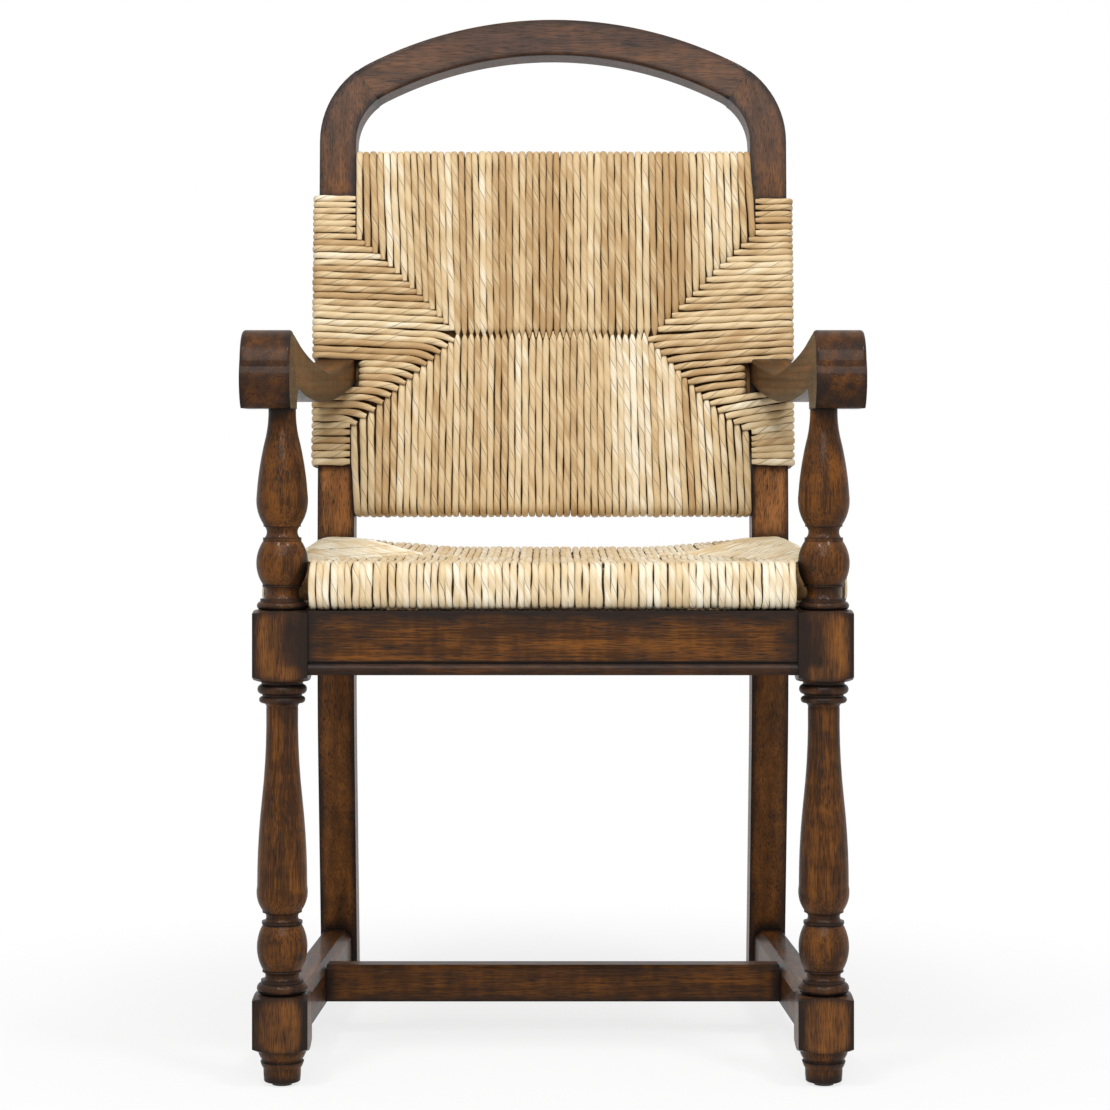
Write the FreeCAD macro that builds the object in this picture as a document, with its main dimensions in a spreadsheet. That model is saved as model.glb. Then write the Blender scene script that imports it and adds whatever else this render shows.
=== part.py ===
"""Dining armchair: turned front posts, sawn rear posts with an arched crest, rush seat and back.

Millimetres, +Z up, the front faces -Y. The origin is on the floor under the middle of the chair.
Every piece is a solid of its own, joined by mortises and tenons, dowels and screws.
"""
import FreeCAD, Part
import math
import os
import re
import Sketcher
from FreeCAD import Placement, Rotation, Vector

doc = FreeCAD.newDocument("dining_armchair")

# Driving sizes, in millimetres and degrees.
SIZES = {
    # Layout of the four posts
    "front_post_spacing": 492, "rear_post_spacing": 452, "seat_post_gap": 388,
    # Feet
    "glide_height": 3, "glide_diameter": 18, "glide_pin_diameter": 4, "glide_pin_length": 14,
    # Rear posts
    "rear_post_width": 38, "rear_post_depth": 42, "leg_angle": 10.5, "leg_bend_height": 300,
    "leg_bend_radius": 600, "back_rake": 4.5, "back_bend_height": 500, "back_bend_radius": 900,
    # Arched crest
    "shoulder_rise": 401.5, "shoulder_radius": 94, "crest_radius": 425, "crest_joint_lead": 9.5,
    "crest_edge_round": 3, "dowel_diameter": 9, "dowel_length": 48, "dowel_spacing": 18,
    # Seat rails, stretchers and their joints
    "seat_rail_height": 58, "rail_thickness": 20, "front_rail_setback": 3, "rail_bead_height": 10,
    "rail_bead_proud": 2, "rail_quirk": 2, "tenon_thickness": 10, "tenon_shoulder": 6,
    "rail_tenon_length": 24, "side_tenon_length": 20, "tenon_web": 3, "joint_clearance": 0.1,
    "stretcher_height": 37, "stretcher_width": 28, "stretcher_lift": 33, "stretcher_bevel": 7,
    "stretcher_tenon_length": 18, "cross_stretcher_height": 35.5, "cross_stretcher_place": 205,
    "cross_stretcher_raise": 1.5, "cross_stretcher_bevel": 4, "cross_tenon_length": 15.5,
    # Arms
    "arm_reach": 50, "arm_width": 45, "arm_rear_width": 40, "arm_offset": 11.5, "arm_front_height": 69.5,
    "arm_chin": 13, "arm_nose_height": 37, "arm_crown_place": -8, "arm_shoulder_place": 60,
    "arm_shoulder_height": 60.5, "arm_block_length": 27, "arm_step_height": 19, "arm_dip_place": 206,
    "arm_dip_bottom": 9.5, "arm_hollow_place": 255, "arm_hollow_height": 39.5, "arm_rear_bottom": 33,
    "arm_rear_top": 59, "arm_sweep": 0.25, "arm_chin_sweep": 3.25, "arm_crown_sweep": 0.6,
    "arm_fall_sweep": 0.42, "arm_roll": 9,
    "arm_side_sweep": 6, "arm_blank_width": 180, "arm_edge_round": 3,
    "arm_tenon_diameter": 20, "arm_tenon_length": 34, "arm_rear_tenon_length": 18,
    # Woven seat
    "cord_diameter": 7, "seat_height": 54, "seat_roll_radius": 18, "seat_side_roll_radius": 34,
    "seat_clearance": 0.5,
    "seat_rear_overhang": 5, "seat_valley": 9, "seat_pillow_width": 70, "seat_seam_length": 210,
    "seat_front_board": 76, "seat_rear_board": 70,
    # Corner blocks and screws
    "corner_block_leg": 70, "corner_block_height": 32, "screw_diameter": 5, "screw_length": 58,
    "screw_head_diameter": 10, "screw_head_height": 4, "screw_place": 22,
    # Woven back, measured up the raked posts from the foot of the raked stretch
    "back_seat_gap": 15,
    "back_weave_base": 8, "back_weave_top": 392, "back_wrap_base": 58, "back_wrap_top": 348,
    "arm_gap_below": 4, "arm_gap_above": 3, "back_rail_height": 35, "back_rail_depth": 28,
    "back_rail_tenon": 18, "back_valley": 6, "back_roll_radius": 9, "weave_clearance": 0.2,
    "back_pillow_width": 90, "back_seam_length": 120,
    # Turned profile of the front posts
    "block_width": 50, "base_shoulder": 5, "top_shoulder": 2.5, "shoulder_lip": 1.5,
    "shoulder_swell": 1.2, "bead_round": 0.42, "cove_flare": 2,
}

# Turned elements of a front post from the floor up: kind, height, diameter and then
# the diameter at a ball's ends or the swell of a taper, outward where positive.
TURNING = {
    "foot_edge": ("swell", 2, 33, 0.5), "foot": ("swell", 10, 34, 0.2),
    "foot_cone": ("swell", 6.5, 39.6, 0.4), "foot_groove": ("straight", 1.5, 37),
    "foot_collar": ("swell", 8.5, 44.5, 0.5),
    "lower_block": ("block", 51),
    "base_torus": ("bead", 10.5, 46), "base_ring": ("straight", 2.5, 38.5), "base_cove": ("cove", 7, 30.5),
    "base_fillet": ("straight", 1.5, 36), "lower_ball": ("ball", 42, 46, 34.5),
    "vase_fillet": ("straight", 2.5, 37), "vase_cove": ("cove", 8, 29), "vase_ring": ("straight", 2, 36),
    "lower_belly": ("swell", 22, 45.4, 2.4), "lower_waist": ("swell", 79, 36.8, 1.1),
    "lower_neck": ("swell", 82, 29, -1.3), "neck_flare": ("swell", 5, 34, -1.2),
    "neck_ring": ("bead", 6, 42), "neck_gap": ("straight", 2, 36), "neck_bead": ("bead", 9, 45),
    "neck_fillet": ("straight", 3, 38),
    "upper_block": ("block", 64.5),
    "seat_torus": ("bead", 7.5, 46), "seat_ring": ("straight", 2.5, 40), "seat_cove": ("cove", 11, 30),
    "seat_fillet": ("straight", 1.5, 36), "upper_ball": ("ball", 40, 47, 34.5),
    "upper_ring": ("straight", 3, 35), "upper_cove": ("cove", 10, 28), "upper_fillet": ("straight", 2, 34),
    "upper_belly": ("swell", 23.5, 46.9, 2), "upper_waist": ("swell", 49.5, 33, 1),
    "upper_neck": ("swell", 32, 25, -1.2),
}
for element, (kind, *measures) in TURNING.items():
    for measure, size in zip(("height", "diameter", "end" if kind == "ball" else "swell"), measures):
        SIZES[f"{element}_{measure}"] = size

# Places that follow from the sizes.
PLACES = {
    "front_post_x": "front_post_spacing / 2",
    "rear_post_x": "rear_post_spacing / 2",
    "leg_kick": "(leg_bend_height - glide_height) * tan(leg_angle)",
    "foot_back": "leg_kick + rear_post_depth / cos(leg_angle)",
    "front_post_y": "(arm_reach - seat_post_gap - foot_back) / 2",
    "rear_post_y": "front_post_y + seat_post_gap",
    "block_front": "front_post_y - block_width / 2",
    "block_back": "front_post_y + block_width / 2",
    "block_inner": "front_post_x - block_width / 2",
    "block_outer": "front_post_x + block_width / 2",
    "rear_inner": "rear_post_x - rear_post_width / 2",
    "rear_outer": "rear_post_x + rear_post_width / 2",
    "side_slope": "(rear_post_x - front_post_x) / (rear_post_y - block_back)",
}
level = "glide_height"
for element in TURNING:
    PLACES[f"{element}_top"] = f"{level} + {element}_height"
    level = f"{element}_top"
PLACES.update({
    "arm_base": "upper_neck_top",
    "rail_top": "upper_block_top",
    "rail_base": "rail_top - seat_rail_height",
    "front_rail_front": "block_front + front_rail_setback",
    "front_rail_back": "front_rail_front + rail_thickness",
    "rear_tenon_front": "rear_post_y + side_tenon_length + tenon_web",
    "rear_rail_front": "rear_tenon_front - (rail_thickness - tenon_thickness) / 2",
    "rear_rail_back": "rear_rail_front + rail_thickness",
    "stretcher_base": "stretcher_lift",
    "stretcher_top": "stretcher_lift + stretcher_height",
    "stretcher_far": "rear_post_y + (leg_bend_height - stretcher_base) * tan(leg_angle)",
    "stretcher_near": "rear_post_y + (leg_bend_height - stretcher_top) * tan(leg_angle)",
    "stretcher_slope": "(rear_post_x - front_post_x) / (stretcher_far - block_back)",
    "cross_y": "block_back + cross_stretcher_place",
    "cross_base": "stretcher_base + cross_stretcher_raise",
    "cross_end": "front_post_x + stretcher_slope * cross_stretcher_place - stretcher_width / 2",
    "back_base": "max(back_bend_height; rail_top + seat_height + back_seat_gap)",
    "back_base_y": "rear_post_y + (back_base - back_bend_height) * tan(back_rake)",
    "arm_gap_base": "(arm_base + arm_rear_bottom - back_base) / cos(back_rake) - arm_gap_below",
    "arm_gap_top": "(arm_base + arm_rear_top - back_base) / cos(back_rake) + arm_gap_above",
    "crest_tangent": "acos((rear_outer - shoulder_radius) / (crest_radius - shoulder_radius)) / 1 deg",
    "crest_centre": "shoulder_rise - (crest_radius - shoulder_radius) * sin(crest_tangent)",
    "crest_joint_angle": "crest_tangent - crest_joint_lead",
    "shoulder_x": "rear_outer - shoulder_radius",
    "shoulder_mean": "shoulder_radius - rear_post_width / 2",
    "dowel_x": "shoulder_x + shoulder_mean * cos(crest_joint_angle)",
    "dowel_rise": "shoulder_rise + shoulder_mean * sin(crest_joint_angle)",
    "seat_front": "block_front",
    "seat_notch_x": "block_inner - seat_clearance",
    "seat_notch_y": "block_back + seat_clearance",
    "seat_side_rear": "rear_outer + seat_rear_overhang",
    "seat_rear_notch_x": "rear_inner - seat_clearance",
    "seat_rear_notch_y": "rear_post_y - seat_clearance",
    "seat_rear": "rear_rail_back",
    "frame_front": "seat_front + cord_diameter",
    "frame_notch_x": "seat_notch_x - cord_diameter",
    "frame_notch_y": "seat_notch_y + cord_diameter",
    "frame_side_front": "block_outer - cord_diameter",
    "frame_side_rear": "seat_side_rear - cord_diameter",
    "frame_rear_notch_x": "seat_rear_notch_x - cord_diameter",
    "frame_rear_notch_y": "seat_rear_notch_y - cord_diameter",
    "frame_rear": "seat_rear - cord_diameter",
    "frame_slope": "(frame_rear_notch_x - frame_notch_x) / (frame_rear_notch_y - frame_notch_y)",
    "front_board_back": "frame_front + seat_front_board",
    "front_board_x": "frame_notch_x + frame_slope * (front_board_back - frame_notch_y)",
    "rear_board_front": "frame_rear - seat_rear_board",
    "rear_board_x": "frame_notch_x + frame_slope * (rear_board_front - frame_notch_y)",
    "frame_base": "rail_top + cord_diameter",
    "frame_height": "seat_height - seat_valley - 2 * cord_diameter",
    "screw_front_x": "block_inner - screw_place",
    "screw_front_y": "front_rail_back + screw_place",
    "screw_rear_x": "rear_inner - screw_place",
    "screw_rear_y": "rear_rail_front - screw_place",
    "back_rail_front": "(rear_post_depth - back_rail_depth) / 2",
    "upper_rail_base": "back_weave_top - cord_diameter - back_rail_height",
    "lower_rail_base": "back_weave_base + cord_diameter",
})


def fill_sheet(label, cells):
    """Write named cells to a spreadsheet, one row each."""
    table = doc.addObject("Spreadsheet::Sheet", label)
    for row, (alias, content) in enumerate(cells.items(), 1):
        table.set(f"A{row}", alias)
        table.set(f"B{row}", content)
        table.setAlias(f"B{row}", alias)
    doc.recompute()
    return table


def bound(formula):
    """Turn a formula of size and place names into an expression on the sheets."""
    def named(match):
        word = match.group(0)
        if word in SIZES:
            return f"Sizes.{word}"
        return f"Places.{word}" if word in PLACES else word
    return re.sub(r"[a-z_]+", named, str(formula))


sizes = fill_sheet("Sizes", {alias: str(size) for alias, size in SIZES.items()})
places = fill_sheet("Places", {alias: "=" + bound(formula) for alias, formula in PLACES.items()})


def value(formula):
    """The number that a formula gives at the present sizes."""
    number = sizes.evalExpression(bound(formula))
    return float(getattr(number, "Value", number))


def bind(thing, prop, formula):
    """Let a property follow a formula."""
    thing.setExpression(prop, bound(formula))


SEATS = {}


def new_body(label, x="0", y="0", z="0", raked=False):
    """A body whose origin follows three formulas, leaning back with the posts where raked."""
    body = doc.addObject("PartDesign::Body", label)
    body.Label = label
    if raked:
        body.Placement = Placement(Vector(), Rotation(Vector(1, 0, 0), -value("back_rake")))
        bind(body, "Placement.Rotation.Angle", "-back_rake")
        body.Placement.Rotation.Axis = Vector(1, 0, 0)
    for axis, formula in zip("xyz", (x, y, z)):
        bind(body, f"Placement.Base.{axis}", formula)
    SEATS[label] = None if raked else (x, y, z)
    return body


def new_back_body(label):
    """A body in the raked frame of the back: X across, Y through it, Z up the posts."""
    return new_body(label, y="back_base_y", z="back_base", raked=True)


def sketch_on(body, name, role, shift=("0", "0", "0"), raked=False):
    """A sketch on one of the body's origin planes, shifted along its own axes."""
    sketch = body.newObject("Sketcher::SketchObject", f"{body.Label}_{name}")
    plane = next(feature for feature in body.Origin.OriginFeatures if feature.Role == role)
    sketch.AttachmentSupport = (plane, "")
    sketch.MapMode = "FlatFace"
    if raked:
        sketch.AttachmentOffset = Placement(Vector(), Rotation(Vector(1, 0, 0), -value("back_rake")))
        bind(sketch, "AttachmentOffset.Rotation.Angle", "-back_rake")
    for axis, formula in zip("xyz", shift):
        bind(sketch, f"AttachmentOffset.Base.{axis}", formula)
    return sketch


def round_corner(before, corner, after, radius):
    """Tangent points and middle of the arc that rounds a corner between two points."""
    first = (before - corner).normalize()
    second = (after - corner).normalize()
    half = first.getAngle(second) / 2
    bisector = (first + second).normalize()
    reach = radius / math.tan(half)
    centre = corner + bisector * (radius ** 2 + reach ** 2) ** 0.5
    return corner + first * reach, corner + second * reach, centre - bisector * radius


def sketch_arc(start, via, end):
    """An arc through three points, turned anticlockwise as sketches keep them."""
    clockwise = (via - start).cross(end - via).z < 0
    return Part.Arc(end, via, start) if clockwise else Part.Arc(start, via, end)


def outline(sketch, corners):
    """Close a loop of lines and arcs through corners given as formulas.

    A corner is (x, y), (x, y, radius) for a rounded one, or (x, y, via_x, via_y) where the
    stretch that ends there is an arc through the via point.
    """
    count = len(corners)
    spots = [Vector(value(corner[0]), value(corner[1]), 0) for corner in corners]
    first = sketch.GeometryCount
    geometry, rules, driven = [], [], []

    def hold(index, place, x, y):
        spot = Vector(value(x), value(y), 0)
        for kind, number, formula in (("DistanceX", spot.x, x), ("DistanceY", spot.y, y)):
            driven.append((len(rules), formula))
            rules.append(Sketcher.Constraint(kind, -1, 1, index, place, number))

    rounds = {}
    for i, corner in enumerate(corners):
        if len(corner) == 3:
            rounds[i] = round_corner(spots[i - 1], spots[i], spots[(i + 1) % count], value(corner[2]))
    for i in range(count):
        j = (i + 1) % count
        start = rounds[i][1] if i in rounds else spots[i]
        end = rounds[j][0] if j in rounds else spots[j]
        if len(corners[j]) == 4:
            via = Vector(value(corners[j][2]), value(corners[j][3]), 0)
            geometry.append(sketch_arc(start, via, end))
        else:
            geometry.append(Part.LineSegment(start, end))
    arcs = {}
    for i, (entry, leave, middle) in rounds.items():
        arcs[i] = first + len(geometry)
        geometry.append(sketch_arc(entry, middle, leave))
    marks = {}
    for i, corner in enumerate(corners):
        if i in rounds or len(corner) == 4:
            marks[i] = first + len(geometry)
            spot = spots[i] if i in rounds else Vector(value(corner[2]), value(corner[3]), 0)
            geometry.append(Part.Point(spot))
    sketch.addGeometry(geometry, False)
    for mark in marks.values():
        sketch.setConstruction(mark, True)

    made = sketch.Geometry

    def end_at(index, spot):
        """Which end of a line or arc lies at a spot."""
        ends = made[index].StartPoint, made[index].EndPoint
        return 1 if ends[0].distanceToPoint(spot) < ends[1].distanceToPoint(spot) else 2

    for i, corner in enumerate(corners):
        before, after = first + (i - 1) % count, first + i
        if i in rounds:
            entry, leave, middle = rounds[i]
            arc = arcs[i]
            for side, joint in ((before, entry), (after, leave)):
                rules.append(Sketcher.Constraint(
                    "Tangent", side, end_at(side, joint), arc, end_at(arc, joint)))
                rules.append(Sketcher.Constraint("PointOnObject", marks[i], 1, side))
            hold(marks[i], 1, corner[0], corner[1])
            driven.append((len(rules), corner[2]))
            rules.append(Sketcher.Constraint("Radius", arc, value(corner[2])))
            continue
        ends = end_at(before, spots[i]), end_at(after, spots[i])
        rules.append(Sketcher.Constraint("Coincident", before, ends[0], after, ends[1]))
        hold(after, ends[1], corner[0], corner[1])
        if len(corner) == 4:
            rules.append(Sketcher.Constraint("PointOnObject", marks[i], 1, before))
            hold(marks[i], 1, corner[2], corner[3])
    base = sketch.ConstraintCount
    sketch.addConstraint(rules)
    for place, formula in driven:
        bind(sketch, f"Constraints[{base + place}]", formula)
    return sketch


def feature(body, kind, name, sketch, **settings):
    """A sketch-based feature of a body; text settings are formulas, others plain values."""
    made = body.newObject(f"PartDesign::{kind}", f"{body.Label}_{name}")
    made.Profile = sketch
    for prop, setting in settings.items():
        if prop in ("SideType", "Type"):
            setattr(made, prop, setting)
        elif isinstance(setting, str):
            bind(made, prop, setting)
        else:
            setattr(made, prop, setting)
    sketch.Visibility = False
    return made


def box(body, kind, name, across, through, up, raked=False):
    """Add or cut a block: (middle, width) across, then (low, high) through and up.

    The block is given in the chair's frame, or in the raked frame of the back where raked.
    """
    made = body.newObject(f"PartDesign::{kind}Box", f"{body.Label}_{name}")
    bind(made, "Length", across[1])
    bind(made, "Width", f"({through[1]}) - ({through[0]})")
    bind(made, "Height", f"({up[1]}) - ({up[0]})")
    y, z = through[0], up[0]
    seat_x, seat_y, seat_z = SEATS[body.Label] or ("0", "0", "0")
    if raked and SEATS[body.Label]:
        made.Placement.Rotation = Rotation(Vector(1, 0, 0), -value("back_rake"))
        bind(made, "Placement.Rotation.Angle", "-back_rake")
        y = f"({through[0]}) * cos(back_rake) + ({up[0]}) * sin(back_rake) + back_base_y"
        z = f"({up[0]}) * cos(back_rake) - ({through[0]}) * sin(back_rake) + back_base"
    bind(made, "Placement.Base.x", f"({across[0]}) - ({across[1]}) / 2 - ({seat_x})")
    bind(made, "Placement.Base.y", f"({y}) - ({seat_y})")
    bind(made, "Placement.Base.z", f"({z}) - ({seat_z})")
    return made


def grown(span, axis_is_middle=False):
    """The same span with the joint clearance on both sides."""
    if axis_is_middle:
        return span[0], f"({span[1]}) + 2 * joint_clearance"
    return f"({span[0]}) - joint_clearance", f"({span[1]}) + joint_clearance"


def tenon(rail, post, name, across, through, up, raked=False):
    """A tenon on a rail and the mortise for it in the post that it enters."""
    box(rail, "Additive", name, across, through, up, raked)
    box(post, "Subtractive", f"{rail.Label}_{name}", grown(across, True), grown(through), grown(up), raked)


def drill(body, name, diameter, low, high, x, y, kind="Subtractive"):
    """An upright hole, or a pin, at a place of the chair's frame."""
    made = body.newObject(f"PartDesign::{kind}Cylinder", f"{body.Label}_{name}")
    seat_x, seat_y, seat_z = SEATS[body.Label]
    bind(made, "Radius", f"({diameter}) / 2")
    bind(made, "Height", f"({high}) - ({low})")
    bind(made, "Placement.Base.x", f"({x}) - ({seat_x})")
    bind(made, "Placement.Base.y", f"({y}) - ({seat_y})")
    bind(made, "Placement.Base.z", f"({low}) - ({seat_z})")
    return made


SIDES = {"left": "-1", "right": "1"}
SAME = 1e-6


def turned_profile(sketch, elements, low, last):
    """Half outline of a stretch of the turning, from the axis out and up; gives where it ends."""
    corners = [("0", low)]

    def step_to(radius, height):
        """A square step to a radius, unless the outline is already there."""
        if abs(value(corners[-1][0]) - value(radius)) + abs(value(corners[-1][1]) - value(height)) > SAME:
            corners.append((radius, height))

    for element in elements:
        kind = TURNING[element][0]
        high = f"{element}_top"
        middle = f"({low} + {high}) / 2"
        radius = f"{element}_diameter / 2"
        edge = {"bead": f"{radius} - bead_round * {element}_height", "ball": f"{element}_end / 2",
                "cove": f"{radius} + cove_flare", "swell": last}.get(kind, radius)
        step_to(edge, low)
        if kind == "straight":
            corners.append((edge, high))
        elif kind == "swell":
            corners.append((radius, high, f"({last} + {radius}) / 2 + {element}_swell", middle))
        else:
            corners.append((edge, high, radius, middle))
        last = corners[-1][0]
        low = high
    corners.append(("0", low))
    outline(sketch, corners)
    return last


# Stretches of the turning between changes of tool: feet and beads, vases, and what stands on the blocks.
STRETCHES = {
    "foot": ["foot_edge", "foot", "foot_cone", "foot_groove", "foot_collar"],
    "base": ["base_torus", "base_ring", "base_cove", "base_fillet", "lower_ball", "vase_fillet", "vase_cove",
             "vase_ring"],
    "vase": ["lower_belly", "lower_waist", "lower_neck", "neck_flare"],
    "neck": ["neck_ring", "neck_gap", "neck_bead", "neck_fillet"],
    "seat": ["seat_torus", "seat_ring", "seat_cove", "seat_fillet", "upper_ball", "upper_ring", "upper_cove",
             "upper_fillet"],
    "arm": ["upper_belly", "upper_waist", "upper_neck"],
}


def front_post(side, sign):
    """Turned post from foot to arm, with two square blocks whose ends are rounded by the turning."""
    body = new_body(f"front_post_{side}", f"{sign} * front_post_x", "front_post_y")
    axis = (sketch_axis(body, "Z_Axis"), [""])
    last = "foot_edge_diameter / 2 - foot_edge_height / 2"
    half = "block_width / 2"
    for name, elements in STRETCHES.items():
        low = f"{elements[0]}_top - {elements[0]}_height"
        sketch = sketch_on(body, f"{name}_profile", "XZ_Plane")
        last = turned_profile(sketch, elements, low, last)
        feature(body, "Revolution", f"{name}_turned", sketch, ReferenceAxis=axis, Angle=360.0)
        block = {"foot": "lower_block", "neck": "upper_block"}.get(name)
        if block:
            base = f"{block}_top - {block}_height"
            square = outline(sketch_on(body, f"{block}_square", "XY_Plane", ("0", "0", base)), [
                (f"-{half}", f"-{half}"), (half, f"-{half}"), (half, half), (f"-{half}", half)])
            feature(body, "Pad", f"{block}_pad", square, Length=f"{block}_height")
    drill(body, "arm_tenon", "arm_tenon_diameter", "arm_base", "arm_base + arm_tenon_length",
          f"{sign} * front_post_x", "front_post_y", "Additive")
    corner = f"{half} * sqrt(2) + joint_clearance"
    lip = f"{half} - shoulder_lip"
    for block in ("lower_block", "upper_block"):
        levels = {"base": (f"{block}_top - {block}_height", "1"), "top": (f"{block}_top", "-1")}
        for end, (level, inward) in levels.items():
            ring = outline(sketch_on(body, f"{block}_{end}_shoulder", "XZ_Plane"), [
                (lip, level, f"{half} * shoulder_swell", f"({level}) + {inward} * {end}_shoulder / 2"),
                (corner, level), (corner, f"({level}) + {inward} * {end}_shoulder")])
            feature(body, "Groove", f"{block}_{end}_round", ring, ReferenceAxis=axis, Angle=360.0)
    drill(body, "glide_hole", "glide_pin_diameter", "glide_height - joint_clearance",
          "glide_height + glide_pin_length", f"{sign} * front_post_x", "front_post_y")
    return body


def sketch_axis(body, role):
    """One of the body's origin axes."""
    return next(feature for feature in body.Origin.OriginFeatures if feature.Role == role)


def rear_post(side, sign):
    """Sawn post: kicked back below the seat, raked above it, its top curving into the arch."""
    body = new_body(f"rear_post_{side}", f"{sign} * rear_post_x", "rear_post_y")
    depth = "rear_post_depth"
    lean_y = "(back_base_y - rear_post_y)"
    top_y = f"{lean_y} + shoulder_rise * sin(back_rake)"
    top_z = "back_base + shoulder_rise * cos(back_rake)"
    profile = outline(sketch_on(body, "side", "YZ_Plane"), [
        ("leg_kick", "glide_height"),
        ("0", "leg_bend_height", "leg_bend_radius"),
        ("0", "back_bend_height", "back_bend_radius"),
        (top_y, top_z),
        (f"{top_y} + {depth} * cos(back_rake)", f"{top_z} - {depth} * sin(back_rake)"),
        (depth, f"back_bend_height - {depth} * tan(back_rake / 2)", f"back_bend_radius - {depth}"),
        (depth, f"leg_bend_height + {depth} * tan(leg_angle / 2)", f"leg_bend_radius - {depth}"),
        ("foot_back", "glide_height")])
    feature(body, "Pad", "sawn", profile, Length="rear_post_width", SideType="Symmetric")
    half = "rear_post_width / 2"
    middle = f"({half} - shoulder_radius)"

    def ray(radius, angle):
        return (f"{sign} * ({middle} + ({radius}) * cos({angle}))",
                f"shoulder_rise + ({radius}) * sin({angle})")

    outer, inner = "shoulder_radius", "(shoulder_radius - rear_post_width)"
    raked_sketch = sketch_on(body, "shoulder", "XZ_Plane", ("0", "back_base", f"-{lean_y}"), raked=True)
    shoulder = outline(raked_sketch, [
        (f"{sign} * {half}", "shoulder_rise"),
        ray(outer, "crest_joint_angle") + ray(outer, "crest_joint_angle / 2"),
        ray(inner, "crest_joint_angle"),
        (f"-{sign} * {half}", "shoulder_rise") + ray(inner, "crest_joint_angle / 2")])
    feature(body, "Pad", "shoulder_pad", shoulder, Length=depth, Reversed=True)
    foot = "rear_post_y + leg_kick + rear_post_depth / cos(leg_angle) / 2"
    drill(body, "glide_hole", "glide_pin_diameter", "glide_height - joint_clearance",
          "glide_height + glide_pin_length", f"{sign} * rear_post_x", foot)
    return body


front_posts = {side: front_post(side, sign) for side, sign in SIDES.items()}
rear_posts = {side: rear_post(side, sign) for side, sign in SIDES.items()}


def middle_of(low, high, thickness):
    """A span of a thickness in the middle of another span."""
    return f"(({low}) + ({high}) - {thickness}) / 2", f"(({low}) + ({high}) + {thickness}) / 2"


RAIL_TENON_UP = ("rail_base + tenon_shoulder", "rail_top - tenon_shoulder")


def front_seat_rail():
    """Apron between the front posts, with a bead and a quirk along its lower edge."""
    body = new_body("front_seat_rail", "0", "front_rail_front", "rail_base")
    section = outline(sketch_on(body, "section", "YZ_Plane"), [
        ("0", "rail_bead_height + rail_quirk"), ("0", "seat_rail_height"),
        ("rail_thickness", "seat_rail_height"), ("rail_thickness", "0"), ("0", "0"),
        ("0", "rail_bead_height", "-rail_bead_proud", "rail_bead_height / 2"),
        ("rail_quirk", "rail_bead_height"), ("rail_quirk", "rail_bead_height + rail_quirk")])
    feature(body, "Pad", "rail", section, Length="2 * block_inner", SideType="Symmetric")
    through = middle_of("front_rail_front", "front_rail_back", "tenon_thickness")
    for side, sign in SIDES.items():
        across = (f"{sign} * (block_inner + rail_tenon_length / 2)", "rail_tenon_length")
        tenon(body, front_posts[side], f"tenon_{side}", across, through, RAIL_TENON_UP)
    return body


def side_seat_rail(side, sign):
    """Side apron, drawn in towards the back, with a straight tenon at each end."""
    body = new_body(f"side_seat_rail_{side}", "0", "block_back", "rail_base")
    half, span = "rail_thickness / 2", "rear_post_y - block_back"
    plan = outline(sketch_on(body, "plan", "XY_Plane"), [
        (f"{sign} * (front_post_x - {half})", "0"), (f"{sign} * (front_post_x + {half})", "0"),
        (f"{sign} * (rear_post_x + {half})", span), (f"{sign} * (rear_post_x - {half})", span)])
    feature(body, "Pad", "rail", plan, Length="seat_rail_height")
    tenon(body, front_posts[side], "front_tenon", (f"{sign} * front_post_x", "tenon_thickness"),
          ("block_back - side_tenon_length", "block_back"), RAIL_TENON_UP)
    tenon(body, rear_posts[side], "rear_tenon", (f"{sign} * rear_post_x", "tenon_thickness"),
          ("rear_post_y", "rear_post_y + side_tenon_length"), RAIL_TENON_UP)
    return body


def rear_seat_rail():
    """Apron between the rear posts, behind the side rails' tenons."""
    body = new_body("rear_seat_rail", "0", "rear_rail_front", "rail_base")
    section = outline(sketch_on(body, "section", "YZ_Plane"), [
        ("0", "0"), ("rail_thickness", "0"),
        ("rail_thickness", "seat_rail_height"), ("0", "seat_rail_height")])
    feature(body, "Pad", "rail", section, Length="2 * rear_inner", SideType="Symmetric")
    through = ("rear_tenon_front", "rear_tenon_front + tenon_thickness")
    for side, sign in SIDES.items():
        across = (f"{sign} * (rear_inner + rail_tenon_length / 2)", "rail_tenon_length")
        tenon(body, rear_posts[side], f"tenon_{side}", across, through, RAIL_TENON_UP)
    return body


def dress_edges(body, kind, name, size, chosen):
    """Chamfer or fillet the edges of a body that a test on an edge and its middle point picks out."""
    doc.recompute()
    base = body.Tip
    picked = []
    for number, edge in enumerate(base.Shape.Edges, 1):
        if chosen(edge, edge.valueAt((edge.FirstParameter + edge.LastParameter) / 2)):
            picked.append(f"Edge{number}")
    made = body.newObject(f"PartDesign::{kind}", f"{body.Label}_{name}")
    made.Base = (base, picked)
    bind(made, "Size" if kind == "Chamfer" else "Radius", size)
    return made


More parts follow.
